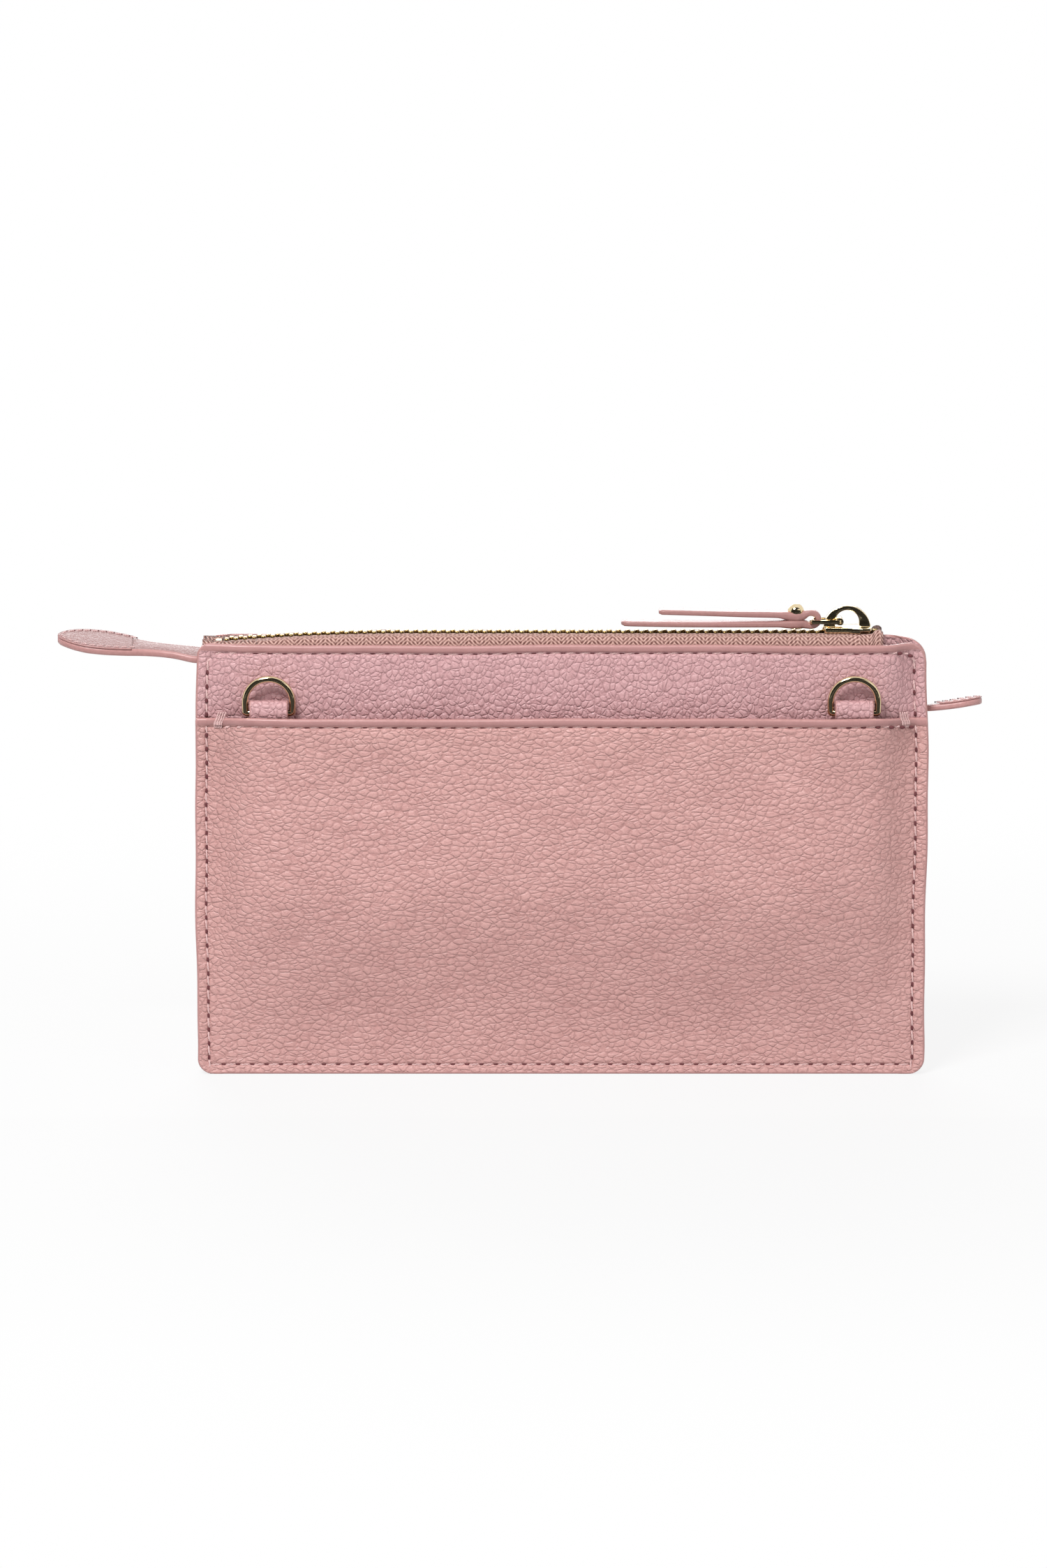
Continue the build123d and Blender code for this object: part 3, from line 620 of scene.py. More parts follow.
# --- walls ----------------------------------------------------------------------------------------
back = Wall(back_outer, -1, BODY_HEIGHT + 0.55, (4.6, 3.8, 6.2), 2.5, fold=0.34, seam_fill=0.47)
middle = Wall(middle_outer, 1, MIDDLE_HEIGHT, (4.6, 6.5, 6.5), 2.8, seam_fill=0.47)
slip_pocket = Wall(pocket_outer, -1, POCKET_HEIGHT + 0.72, (4.6, 0.8, 0.8), 2.6, fold=0.42,
                   seam_turn=0.6, corner_droop=1.5)
front = Wall(front_outer, 1, FRONT_HEIGHT, (4.6, 3.6, 3.6), 2.5, fold=0.34, seam_fill=0.9)
for label, wall, leather in (("back", back, UPPER_LEATHER), ("middle", middle, UPPER_LEATHER),
                             ("slip_pocket", slip_pocket, POCKET_LEATHER),
                             ("front", front, POCKET_LEATHER)):
    shape, kinds = wall.mesh()
    piece(label + "_wall", shape, [leather, EDGE_PAINT, TURNED_LEATHER], kinds,
          replaces=[label + "_panel"])

LINING_DROP = 8.6            # a lining's top edge below its wall's
LINING_FOOT = 0.8            # its foot above its wall's
linings = {
    "main_lining_back": (lambda x, z: back_inner(x, z) + PLY_GAP + LINING, 1, BODY_HEIGHT),
    "main_lining_front": (lambda x, z: middle_inner(x, z) - PLY_GAP - LINING, -1, BODY_HEIGHT),
    "front_lining_back": (lambda x, z: middle_outer(x, z) + PLY_GAP + LINING, 1, FRONT_HEIGHT),
    "front_lining_front": (lambda x, z: front_inner(x, z) - PLY_GAP - LINING, -1, FRONT_HEIGHT),
}
for name, (face, out, wall_top) in linings.items():
    cloth = Wall(face, out, wall_top - LINING_DROP, (4.6, 1, 1), 2.0, thickness=LINING, inset=LINING_FOOT)
    cloth.relief = lambda x, z: 0 * x        # a lining has no grooves
    lining = piece(name.replace("lining", "lining_cloth"), cloth.mesh(step=4.5)[0], [LINING_CLOTH],
                   replaces=[name])


# --- stitches -------------------------------------------------------------------------------------
def growing_tree(name, sizes):
    """A Geometry Nodes tree that is asked for these sizes, and its group input."""
    tree = bpy.data.node_groups.new(name, "GeometryNodeTree")
    tree.interface.new_socket("Geometry", in_out="INPUT", socket_type="NodeSocketGeometry")
    for size in sizes:
        tree.interface.new_socket(size, in_out="INPUT", socket_type="NodeSocketFloat")
    tree.interface.new_socket("Geometry", in_out="OUTPUT", socket_type="NodeSocketGeometry")
    return tree, node(tree, "NodeGroupInput")


def grow(name, carrier, tree, sizes, replaces=()):
    """Runs a growing tree on a carrier, and keeps the result as a plain mesh on the pouch."""
    modifier = carrier.modifiers.new("grow", "NODES")
    modifier.node_group = tree
    for socket in tree.interface.items_tree:
        if socket.name in sizes:
            modifier[socket.identifier] = sizes[socket.name]
    mesh = finished_mesh(carrier)
    mesh.name = name
    smooth(mesh)
    made = placed(name, mesh)
    old = carrier.data
    bpy.data.objects.remove(carrier)
    bpy.data.meshes.remove(old)
    return settle(made, "pouch", replaces)


def stitch_tree():
    """Geometry Nodes: a two-ply stitch and a needle hole at every pitch along edge paths."""
    tree, given = growing_tree("saddle_stitches", ("Pitch", "Thread", "Stitch Length", "Hole", "Slant"))
    path = node(tree, "GeometryNodeMeshToCurve", {"Mesh": (given, "Geometry")})
    marks = node(tree, "GeometryNodeResampleCurve", {"Curve": path, "Length": (given, "Pitch")},
                 mode="LENGTH")

    # thread: two plies twisted together, bowed so that both ends dive into the leather
    ply_radius = node(tree, "ShaderNodeMath", {0: (given, "Thread"), 1: 0.72}, operation="MULTIPLY")
    section = node(tree, "GeometryNodeCurvePrimitiveCircle", {"Radius": ply_radius}, Resolution=5)
    both = node(tree, "GeometryNodeJoinGeometry")
    for start in (0.0, math.pi):
        twist = node(tree, "GeometryNodeCurveSpiral", {"Height": (given, "Stitch Length")}, Resolution=5,
                     Rotations=1.3, Start_Radius=0.13 * MM, End_Radius=0.13 * MM)
        ply = node(tree, "GeometryNodeCurveToMesh", {"Curve": twist, "Profile Curve": section},
                   Fill_Caps=True)
        turned = node(tree, "GeometryNodeTransform", {"Geometry": ply}, Rotation=(0, 0, start))
        feed(tree, both, {0: turned})
    laid = node(tree, "GeometryNodeTransform", {"Geometry": both}, Rotation=(0, math.pi / 2, 0))
    back_step = node(tree, "ShaderNodeMath", {0: (given, "Stitch Length"), 1: -0.5}, operation="MULTIPLY")
    offset = node(tree, "ShaderNodeCombineXYZ", {"X": back_step})
    centred = node(tree, "GeometryNodeTransform", {"Geometry": laid, "Translation": offset})
    place = node(tree, "GeometryNodeInputPosition")
    spot = node(tree, "ShaderNodeSeparateXYZ", {"Vector": place})
    along = node(tree, "ShaderNodeMath", {0: (spot, "X"), 1: (spot, "X")}, operation="MULTIPLY")
    sink = node(tree, "ShaderNodeMath", {0: along, 1: -150.0}, operation="MULTIPLY")
    dip = node(tree, "ShaderNodeCombineXYZ", {"Z": sink})
    bowed = node(tree, "GeometryNodeSetPosition", {"Geometry": centred, "Offset": dip})
    lean = node(tree, "ShaderNodeCombineXYZ", {"Z": (given, "Slant")})
    slanted = node(tree, "GeometryNodeTransform", {"Geometry": bowed, "Rotation": lean})
    thread = node(tree, "GeometryNodeSetMaterial", {"Geometry": slanted}, Material=THREAD)

    # needle hole: a flat pit halfway to the next stitch, painted dark as the shade inside the hole
    pit = node(tree, "GeometryNodeMeshUVSphere", Segments=8, Rings=4, Radius=0.5 * MM)
    half_pitch = node(tree, "ShaderNodeMath", {0: (given, "Pitch"), 1: 0.5}, operation="MULTIPLY")
    pit_place = node(tree, "ShaderNodeCombineXYZ", {"X": half_pitch}, Z=-0.12 * MM)
    wide = node(tree, "ShaderNodeMath", {0: (given, "Hole"), 1: 0.62}, operation="MULTIPLY")
    shallow = node(tree, "ShaderNodeMath", {0: (given, "Hole"), 1: 0.5}, operation="MINIMUM")
    pit_size = node(tree, "ShaderNodeCombineXYZ", {"X": (given, "Hole"), "Y": wide, "Z": shallow})
    flat_pit = node(tree, "GeometryNodeTransform", {"Geometry": (pit, "Mesh"), "Translation": pit_place,
                                                    "Rotation": lean, "Scale": pit_size})
    hole = node(tree, "GeometryNodeSetMaterial", {"Geometry": flat_pit}, Material=HOLE_SHADE)

    stitch = node(tree, "GeometryNodeJoinGeometry")
    for part in (thread, hole):
        feed(tree, stitch, {0: part})
    tangent = node(tree, "GeometryNodeInputTangent")
    normal = node(tree, "GeometryNodeInputNamedAttribute", data_type="FLOAT_VECTOR", Name="outward")
    turn = node(tree, "FunctionNodeAxesToRotation", {"Primary Axis": (normal, "Attribute"),
                                                     "Secondary Axis": tangent},
                primary_axis="Z", secondary_axis="X")
    copies = node(tree, "GeometryNodeInstanceOnPoints", {"Points": marks, "Instance": stitch,
                                                         "Rotation": turn})
    real = node(tree, "GeometryNodeRealizeInstances", {"Geometry": copies})
    node(tree, "NodeGroupOutput", {"Geometry": real})
    return tree


STITCHES = stitch_tree()


def sew(name, seams, share, hole, slant=0.1, pitch=STITCH_PITCH, thread=0.30):
    """Stitches along paths: seams are (points, outward) pairs, share is the thread's part of a pitch."""
    points, edges, outward = [], [], []
    for path, out in seams:
        first = len(points)
        points += list(path)
        edges += [(i, i + 1) for i in range(first, len(points) - 1)]
        outward += [out] * (len(points) - first)
    seam_path = outlined(name + "_path", points, edges, "outward", outward)
    return grow(name, seam_path, STITCHES, {"Pitch": pitch * MM, "Thread": thread * MM, "Hole": hole,
                                            "Stitch Length": pitch * share * MM, "Slant": slant})


TOWARDS_BACK = (0.0, -1.0, 0.0)
TOWARDS_FRONT = (0.0, 1.0, 0.0)


def seam_corners(wall):
    """Left, right and top of a wall's lines of stitches."""
    return -HALF_WIDTH + wall.left_seam, HALF_WIDTH - wall.right_seam, wall.height - wall.top_seam


def top_seam(wall, out):
    """The seam along a wall's top edge, which turns down round both corners."""
    left, right, top = seam_corners(wall)
    turn = wall.seam_turn
    arc = [math.radians(a) for a in (20, 40, 60, 75, 90)]
    stops = [(left + turn - turn * math.cos(a), top - turn + turn * math.sin(a)) for a in arc]
    stops += [(right - turn + turn * math.cos(a), top - turn + turn * math.sin(a)) for a in reversed(arc)]
    return [(wall.seam(stops, lift=0.12), out)]


def side_seams(wall, out, low):
    """Seams down both sides, from the top seam to low."""
    left, right, top = seam_corners(wall)
    return [(wall.seam([(x, top - wall.seam_turn), (x, low)], lift=0.42), out) for x in (left, right)]


def foot_seam(wall, out):
    """The seam along the foot, between the side seams."""
    left, right = seam_corners(wall)[:2]
    return [(wall.seam([(left + 2, wall.foot_seam), (right - 2, wall.foot_seam)], lift=0.16), out)]


for name, outer, lower, out in (("back", back, slip_pocket, TOWARDS_BACK),
                                ("front", middle, front, TOWARDS_FRONT)):
    sew(name + "_mouth_stitches", top_seam(outer, out) + top_seam(lower, out), share=0.6, hole=1.7,
        slant=0.16)
    sew(name + "_side_stitches", side_seams(outer, out, lower.height + 1.5)
        + side_seams(lower, out, lower.foot_seam) + foot_seam(lower, out), share=0.76, hole=1.6, thread=0.33)

TACK_X, TACK_FOOT, TACK_TOP = 101.2, 106.7, 110.3     # bar tacks over the ends of the slip pocket's edge
TACK_STEP = 0.36                                      # between a tack's bars
tacks = []
for x in (-TACK_X, TACK_X):
    for step in range(-3, 4):
        lean = 0.35 * (step % 2)
        across = np.linspace(x + TACK_STEP * step, x + TACK_STEP * step + lean, 5)
        tacks.append((slip_pocket.place(across, np.linspace(TACK_FOOT, TACK_TOP, 5), lift=0.36),
                      TOWARDS_BACK))
sew("bar_tacks", tacks, share=1.0, hole=0.02, slant=0.0, pitch=1.2, thread=0.18)


# --- zips -----------------------------------------------------------------------------------------
def tooth_tree(tooth):
    """Geometry Nodes: one tooth at every point, turned about Z where the point asks for it."""
    tree, given = growing_tree("zip_teeth", ("Size",))
    shape = node(tree, "GeometryNodeObjectInfo", Object=tooth)
    turn = node(tree, "GeometryNodeInputNamedAttribute", data_type="FLOAT_VECTOR", Name="turn")
    marks = node(tree, "GeometryNodeMeshToPoints", {"Mesh": (given, "Geometry")})
    copies = node(tree, "GeometryNodeInstanceOnPoints", {
        "Points": marks, "Instance": (shape, "Geometry"), "Rotation": (turn, "Attribute"),
        "Scale": (given, "Size")})
    real = node(tree, "GeometryNodeRealizeInstances", {"Geometry": copies})
    metal = node(tree, "GeometryNodeSetMaterial", {"Geometry": real}, Material=TEETH_METAL)
    node(tree, "NodeGroupOutput", {"Geometry": metal})
    return tree


def tooth_shape():
    """A stamped tooth: two jaws round the tape's cord, a waist, and a head that stands towards +Y."""
    outline = [(-0.40, -0.45), (0.40, -0.45), (0.60, -0.05), (0.60, 0.45), (0.44, 0.95), (0.62, 1.5),
               (0.62, 2.45), (0.42, 2.7), (-0.42, 2.7), (-0.62, 2.45), (-0.62, 1.5), (-0.44, 0.95),
               (-0.60, 0.45), (-0.60, -0.05)]
    rings = []
    for height, wide, long in ((-1.1, 0.9, 0.97), (-0.9, 1, 1), (0.9, 1, 1), (1.1, 0.9, 0.97)):
        rings.append([(x * wide, 1.1 + (y - 1.1) * long, height) for x, y in outline])
    return placed("tooth", closed_mesh("tooth", *tube(rings)))


TOOTH = tooth_shape()
TEETH = tooth_tree(TOOTH)


class Closure:
    """One zip: k is its scale, and flip is -1 where it closes towards -X.

    y and z place its closed chain, tail_inset its last tooth, dip says how far it sinks there, walls
    are the two that its tapes are sewn to, and mouth is not used.
    """

    def __init__(self, name, k, flip, y, z, tail_inset, dip, walls, wall_top, mouth):
        self.name = name
        self.k = k
        self.flip = flip
        self.y = y
        self.z = z
        self.tail = -HALF_WIDTH + tail_inset
        self.dip = dip
        self.walls = walls
        self.wall_top = wall_top
        self.mouth = mouth
        self.closed = abs(SLIDER_X)
        self.split = self.tail + TAIL_STRETCH * k     # from here on the rows part with the slider

    def level(self, x):
        """Height of the chain's middle, which dips towards its tail."""
        low = np.minimum(0, x - DIP_START) / DIP_RUN
        return self.z - self.dip * low * low

    def spread(self, x):
        """How far the slider has pushed a row aside."""
        return np.clip(x - self.closed, 0, SPREAD_RUN * self.k) * SPREAD_SLOPE

    def parts(self, side, obj):
        """Gives a piece of the parting row a mesh of its own."""
        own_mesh(obj)

    def teeth(self, side, start, end):
        """Places of one row's teeth, each turned so that its head points to the other row."""
        pitch = TOOTH_PITCH * self.k
        points, turns = [], []
        for i in range(int((self.closed + SPREAD_RUN * self.k - self.tail) / pitch)):
            x = self.tail + (i + (0.5 if side > 0 else 0)) * pitch
            if start <= x < end:
                points.append((self.flip * x, self.y + side * self.spread(x), self.level(x)))
                turns.append((0.0, 0.0, 0.0 if side > 0 else math.pi))
        return outlined("tooth_places", points, [], "turn", turns)

    def tape(self, side, start, end):
        """Tape from the teeth over the wall's top edge and down inside, with a cord at its edge."""
        k = self.k
        wall = self.walls[0 if side < 0 else 1]
        rings, weave = [], []
        count = max(2, int((end - start) / 0.8))
        for x in np.linspace(start, end, count):
            edge = TAPE_CORD * k + self.spread(x)
            # past the bottom stop the two tapes come together
            edge -= 1.8 * k * float(np.clip((self.tail - 3.3 * k - x) / (1.3 * k), 0, 1))
            # its end is folded up into a hump beyond the slider
            hump = 1.3 * k * math.exp(-((x - self.closed - 9.0 * k) / (1.5 * k)) ** 4)
            over = (float(wall(x, self.wall_top)) - self.y) * side - 0.3
            under = (float(wall(x, self.wall_top - TAPE_HEM)) - self.y) * side - 0.3
            level = float(self.level(x))
            shoulder = max(min(5.2 * k, over - 0.6), edge + 0.9 * k)
            sag = 0.12 * math.sin(0.21 * x) + 0.07 * math.sin(0.47 * x + 1) + hump
            thick = TAPE * k
            upper = [(edge + 0.5 * k, level + 0.62 * k + hump), (edge + 1.3 * k, level + 0.45 * k + hump),
                     (shoulder, level + thick / 2 + sag), (over - 0.35, self.wall_top + 1.5 + sag),
                     (over - 0.02, self.wall_top - 0.2), (under, self.wall_top - TAPE_HEM)]
            lower = [(y - thick * 0.8, z - thick * 0.5) for y, z in reversed(upper[2:])]
            ring = upper + lower + [(edge + 1.3 * k, level - 0.45 * k), (edge + 0.5 * k, level - 0.62 * k),
                                    (edge, level)]
            run = 0.0
            for spot, last in zip(ring, ring[:1] + ring[:-1]):
                run += math.dist(spot, last)
                weave.append((self.flip * x, run, 0.0))
            rings.append([(self.flip * x, self.y + side * y, z) for y, z in ring])
        return tube(rings), weave


def block(low, high):
    """Corner points and faces of a small block between two corners."""
    points = [(x, y, z) for z in (low[2], high[2]) for y in (low[1], high[1]) for x in (low[0], high[0])]
    faces = [(0, 2, 3, 1), (4, 5, 7, 6), (0, 1, 5, 4), (2, 6, 7, 3), (0, 4, 6, 2), (1, 3, 7, 5)]
    return points, faces


def finish_edges(obj, width, segments=2):
    """Rounds the sharp edges of a finished piece."""
    modifier = obj.modifiers.new("edges", "BEVEL")
    modifier.width = width * MM
    modifier.segments = segments
    modifier.limit_method = "ANGLE"
    modifier.angle_limit = math.radians(28)
    modifier.harden_normals = False
    mesh = finished_mesh(obj)
    obj.modifiers.clear()
    obj.data = mesh


def casting(name, source, width):
    """A cast piece of the zip taken from its solid: merged, its edges rounded as by tumbling."""
    mesh = frame["nodes"][source].data.copy()
    mesh.name = name
    work = bmesh.new()
    work.from_mesh(mesh)
    bmesh.ops.remove_doubles(work, verts=work.verts, dist=2e-6)
    bmesh.ops.dissolve_limit(work, angle_limit=math.radians(1.0), verts=work.verts, edges=work.edges)
    work.to_mesh(mesh)
    work.free()
    mesh.materials.clear()
    mesh.materials.append(PLATED_GOLD)
    obj = placed(name, mesh)
    finish_edges(obj, width)
    smooth(obj.data)
    obj.data.set_sharp_from_angle(angle=math.radians(38))
    return settle(obj, source, [source])


def zip_rows(closure):
    """Teeth, tapes and stops of one zip: a fixed stretch at the tail, the rest parting with the slider."""
    k, flip = closure.k, closure.flip
    for side, word in ((-1, "back"), (1, "front")):
        for start, end, label in ((closure.tail - 0.1, closure.split, "tail"),
                                  (closure.split, closure.closed + 9 * k, "run")):
            places = closure.teeth(side, start, end)
            teeth = grow(f"{closure.name}_teeth_{word}_{label}", places, TEETH, {"Size": k},
                         [f"{closure.name}_teeth_{word}"])
            first = closure.tail - TAPE_PAST_TAIL if label == "tail" else closure.split
            last = closure.split if label == "tail" else closure.closed + TAPE_PAST_SLIDER * k
            shape, weave = closure.tape(side, first, last)
            tape = piece(f"{closure.name}_tape_{word}_{label}", shape, [TAPE_CLOTH],
                         replaces=[f"{closure.name}_tape_{word}"], weave=weave)
            if label == "run":
                closure.parts(side, teeth)
                closure.parts(side, tape)
    x = closure.tail - BOTTOM_STOP * k
    level = float(closure.level(x))
    shape = block((flip * x - 1.0 * k, closure.y - 2.5 * k, level - 1.1 * k),
                  (flip * x + 1.0 * k, closure.y + 2.5 * k, level + 0.85 * k))
    low = piece(closure.name + "_bottom_stop", shape, [TEETH_METAL],
                replaces=[closure.name + "_stops"])
    finish_edges(low, 0.4 * k, 3)
    x = closure.closed + TOP_STOP * k
    for side, word in ((-1, "back"), (1, "front")):
        y = closure.y + side * (float(closure.spread(x)) + 1.35 * k)
        shape = block((flip * x - 0.8 * k, y - 1.35 * k, closure.z - 1.1 * k),
                      (flip * x + 0.8 * k, y + 1.35 * k, closure.z + 1.1 * k))
        stop = piece(f"{closure.name}_top_stop_{word}", shape, [TEETH_METAL])
        finish_edges(stop, 0.35 * k, 3)
        closure.parts(side, stop)


zip_rows(Closure("main", k=1.0, flip=1, y=MAIN_Y, z=BODY_HEIGHT + 2.6, tail_inset=10, dip=2.4,
                 walls=(back_inner, middle_inner), wall_top=BODY_HEIGHT, mouth=6.0))
zip_rows(Closure("front", k=FRONT_SCALE, flip=-1, y=FRONT_CHAIN_Y, z=FRONT_HEIGHT + 1.95, tail_inset=20,
                 dip=0.0, walls=(lambda x, z: middle_outer(-x, z), lambda x, z: front_inner(-x, z)),
                 wall_top=FRONT_HEIGHT, mouth=4.6))

ZIPS = (("main", 1.0, 1), ("front", FRONT_SCALE, -1))     # each zip's scale, and the way it closes
for prefix, k, flip in ZIPS:
    casting(prefix + "_slider_casting", prefix + "_slider", 0.22 * k)
    casting(prefix + "_link_ring", prefix + "_link", 0.3 * k)


def side_gusset(name, low_face, high_face, side, foot, top):
    """The tape's tail turned down into a side seam: a pleat that closes the corner under the tail tab."""
    rows, columns = 22, 9
    skins = []
    for shift in (0.0, TAPE):
        for z in np.linspace(foot, top, rows):
            x = side * (HALF_WIDTH - 3.0)
            low, high = float(low_face(x, z)) - 0.25, float(high_face(x, z)) + 0.25
            for u in np.linspace(-1, 1, columns):
                deep = 0.34 * (high - low) * (1 - abs(u)) ** 0.85 + shift
                skins.append((x - side * deep, (low + high) / 2 + u * (high - low) / 2, z))
    weave = [(y, z, 0.0) for x, y, z in skins]
    piece(name, (skins, two_skins(rows, columns)), [TAPE_CLOTH], weave=weave)


side_gusset("main_side_gusset", back_inner, middle_inner, -1, 88.0, BODY_HEIGHT - 0.9)
side_gusset("front_side_gusset", middle_outer, front_inner, 1, 70.0, FRONT_HEIGHT - 0.6)


# --- zip pulls ------------------------------------------------------------------------------------
# centre line of a pull's strap about the ring's bar: (x, z), lower leg, fold and upper leg
PULL_LOWER = [(-LOWER_LEG, -0.60), (-50, -0.72), (-40, -0.90), (-28, -0.96), (-16, -0.88), (-9, -0.84),
              (-6.5, -0.84), (-4.6, -0.80), (-2.6, -0.86), (-0.6, -1.42)]
PULL_FOLD = [(0.7, -1.3), (1.65, -0.65), (2.05, 0.3), (1.85, 1.25), (1.15, 2.0), (0.1, 2.38)]
PULL_UPPER = [(-1.2, 2.24), (-2.8, 1.55), (-4.6, 1.3), (-6.8, 1.6), (-10, 1.92), (-20, 2.12), (-32, 2.45),
              (-UPPER_LEG, 2.80)]


def pull_path():
    """Smooth centre line of the folded strap, each point with whether it lies on the upper leg."""
    stops = PULL_LOWER + PULL_FOLD + PULL_UPPER
    path = []
    for i in range(len(stops) - 1):
        p0, p1, p2, p3 = (Vector(stops[min(max(j, 0), len(stops) - 1)]) for j in (i - 1, i, i + 1, i + 2))
        steps = max(2, int((p2 - p1).length / 0.9))
        length = (p2 - p1).length
        out = (p2 - p0).normalized() * length
        back = (p3 - p1).normalized() * length
        for step in range(steps):
            t = step / steps
            spot = ((2 * t ** 3 - 3 * t ** 2 + 1) * p1 + (t ** 3 - 2 * t ** 2 + t) * out
                    + (3 * t ** 2 - 2 * t ** 3) * p2 + (t ** 3 - t ** 2) * back)
            path.append((spot.x, spot.y, i >= len(PULL_LOWER) + 2))
    path.append((*stops[-1], True))
    return path


def pull_strap(name, eye, k, flip):
    """Strap folded round the ring: narrow in the ring, thick where the stud joins its legs."""
    path = pull_path()
    rings = []
    for i, (x, z, upper) in enumerate(path):
        up_x, up_z = left_of(path, i)
        half = 2.75 - 0.95 * float(1 - ease(-x, 2.0, 4.0))
        thick = 0.72 + 0.14 * float(1 - ease(-x, 8, 34))
        thick += 0.4 * float(ease(-x, 0.9, 2.2) * (1 - ease(-x, 6, 10)))
        end = x + (UPPER_LEG if upper else LOWER_LEG)
        corner = 0.9 if upper else 2.6
        if end < corner:
            rest = 1 - math.sqrt(max(0, 1 - (1 - end / corner) ** 2))
            half = half - (0.75 if upper else 2.1) * rest
        if end < 0.8:
            thick = thick * (0.62 + 0.38 * math.sqrt(max(0, 1 - (1 - end / 0.8) ** 2)))
        ring = []
        for u, v in ribbon_section(half, thick, 0.1):
            ring.append((eye.x + flip * k * (x + up_x * v), eye.y + k * u, eye.z + k * (z + up_z * v)))
        rings.append(ring)
    return strap(name, rings, STRAP_LEATHER, PULL_PAINT, name.replace("_strap", ""), [name])


def ball_stud(name, eye, k, flip):
    """Ball-headed screw rivet: dome on a collar, stem, flat back."""
    profile = [(0.02, -2.25), (1.9, -2.25), (2.25, -2.12), (2.3, -1.9), (1.0, -1.85), (0.9, 0), (0.9, 1.0)]
    ball, rise = 2.4, 2.75       # the ball's radius, and its middle above the ring's bar
    for turn in range(-50, 90, 10):
        a = math.radians(turn)
        profile.append((ball * math.cos(a), rise + ball * math.sin(a)))
    profile.append((0.02, rise + ball))
    place = (eye.x - flip * STUD_SETBACK * k, eye.y, eye.z)
    turned = lathe([(r * k, h * k) for r, h in profile], place, 32)
    return piece(name, turned, [PLATED_GOLD], None, name.replace("_stud", ""), [name])


for prefix, k, flip in ZIPS:
    pull_strap(prefix + "_pull_strap", PIVOTS[prefix + "_pull_hinge"], k, flip)
for prefix, k, flip in ZIPS:
    ball_stud(prefix + "_pull_stud", PIVOTS[prefix + "_pull_hinge"], k, flip)


# --- tail tabs ------------------------------------------------------------------------------------
def on_tab(spot, roll, u, v):
    """A point u across and v above the middle of a tab's section."""
    turn = math.radians(roll)
    x, y, z = spot[:3]
    return (x, y + u * math.cos(turn) - v * math.sin(turn), z + u * math.sin(turn) + v * math.cos(turn))


def tongue(name, path, roll, low, high, replaces=()):
    """Leather cut to a tongue: path is (x, y, z, half width), low and high are its faces."""
    rings = []
    for spot in path:
        half, middle = spot[3], (low + high) / 2
        thick = (high - low) / 2 * min(1, 0.6 + half / 5)
        rings.append([on_tab(spot, roll, u, middle + v) for u, v in ribbon_section(half, thick, 0.1)])
    return strap(name, rings, TAB_LEATHER_PAINTED_SHADE, EDGE_PAINT, replaces=replaces)


def tail_tab(name, path, roll, thick, fold_at, source):
    """Tongue folded over a zip's tail: a lower ply, and an upper one that stops at fold_at, sewn round."""
    tongue(name, path, roll, -thick / 2, thick / 2 - 0.3, [source])
    outer = path[-1][0]
    upper = [spot for spot in path if abs(spot[0] - outer) <= abs(fold_at - outer)]
    cover = [(x, y, z, max(0.4, half - 0.12)) for x, y, z, half in upper]
    tongue(name + "_cover", cover, roll, thick / 2 - 0.32, thick / 2 + 0.12)
    stitched = [spot for spot in upper if spot[3] > 2.4]
    line = [on_tab(spot, roll, 1.3 - spot[3], thick / 2 + 0.16) for spot in stitched]
    line += [on_tab(spot, roll, spot[3] - 1.3, thick / 2 + 0.16) for spot in reversed(stitched)]
    turn = math.radians(roll)
    sew(name + "_stitches", [(line, (0.0, -math.sin(turn), math.cos(turn)))], share=0.75, hole=0.5,
        pitch=2.3, thread=0.17)


def smooth_path(stops, count):
    """Smooth points through (x, y, z, half width) stops."""
    stops = np.array(stops, float)
    at = np.linspace(0, 1, len(stops))
    fine = np.linspace(0, 1, count)
    result = []
    for column in stops.T:
        line = np.interp(fine, at, column)
        for _ in range(3):
            line[1:-1] = (line[:-2] + 2 * line[1:-1] + line[2:]) / 4
        result.append(line)
    return [tuple(float(v) for v in row) for row in np.array(result).T]


main_tail = [(-104.6, MAIN_Y, 125.6, 4.3), (-108.0, MAIN_Y, 125.9, 4.5), (-112.9, MAIN_Y, 126.7, 3.6),
             (-117.0, MAIN_Y, 127.2, 3.45), (-121.0, MAIN_Y, 127.6, 3.8), (-124.2, MAIN_Y, 128.0, 4.6),
             (-127.3, MAIN_Y, 128.4, 5.6), (-133.2, MAIN_Y, 129.1, 6.8), (-138.6, MAIN_Y, 129.6, 6.7),
             (-142.2, MAIN_Y, 130.0, 5.6), (-144.8, MAIN_Y, 130.3, 4.1), (-146.6, MAIN_Y, 130.4, 2.5),
             (-147.5, MAIN_Y, 130.5, 0.9)]
tail_tab("main_tail_tongue", smooth_path(main_tail, 80), 13, 2.5, -125.6, "main_tail_tab")
corner_y = float(middle_outer(HALF_WIDTH, FRONT_HEIGHT)) + PLY + 3.4
front_tail = [(94.0, FRONT_CHAIN_Y, 108.95, 3.1), (101.0, 0.2 * FRONT_CHAIN_Y + 0.8 * corner_y, 108.95, 3.1),
              (108.0, corner_y, 109.0, 3.1), (113.6, corner_y, 109.6, 4.3), (117.5, corner_y, 110.2, 5.4),
              (121.0, corner_y, 110.8, 4.7), (123.0, corner_y, 111.1, 2.8), (123.8, corner_y, 111.2, 0.8)]
tail_tab("front_tail_tongue", smooth_path(front_tail, 44), -8, 2.2, 110.5, "front_tail_tab")


# --- D-rings --------------------------------------------------------------------------------------
def leaned(hinge, lean, spot):
    """Where a point given about an upright ring's bar comes to lie as the ring leans."""
    y = spot.y * math.cos(lean) - spot.z * math.sin(lean)
    z = spot.y * math.sin(lean) + spot.z * math.cos(lean)
    return (hinge.x + spot.x, hinge.y + y, hinge.z + z)


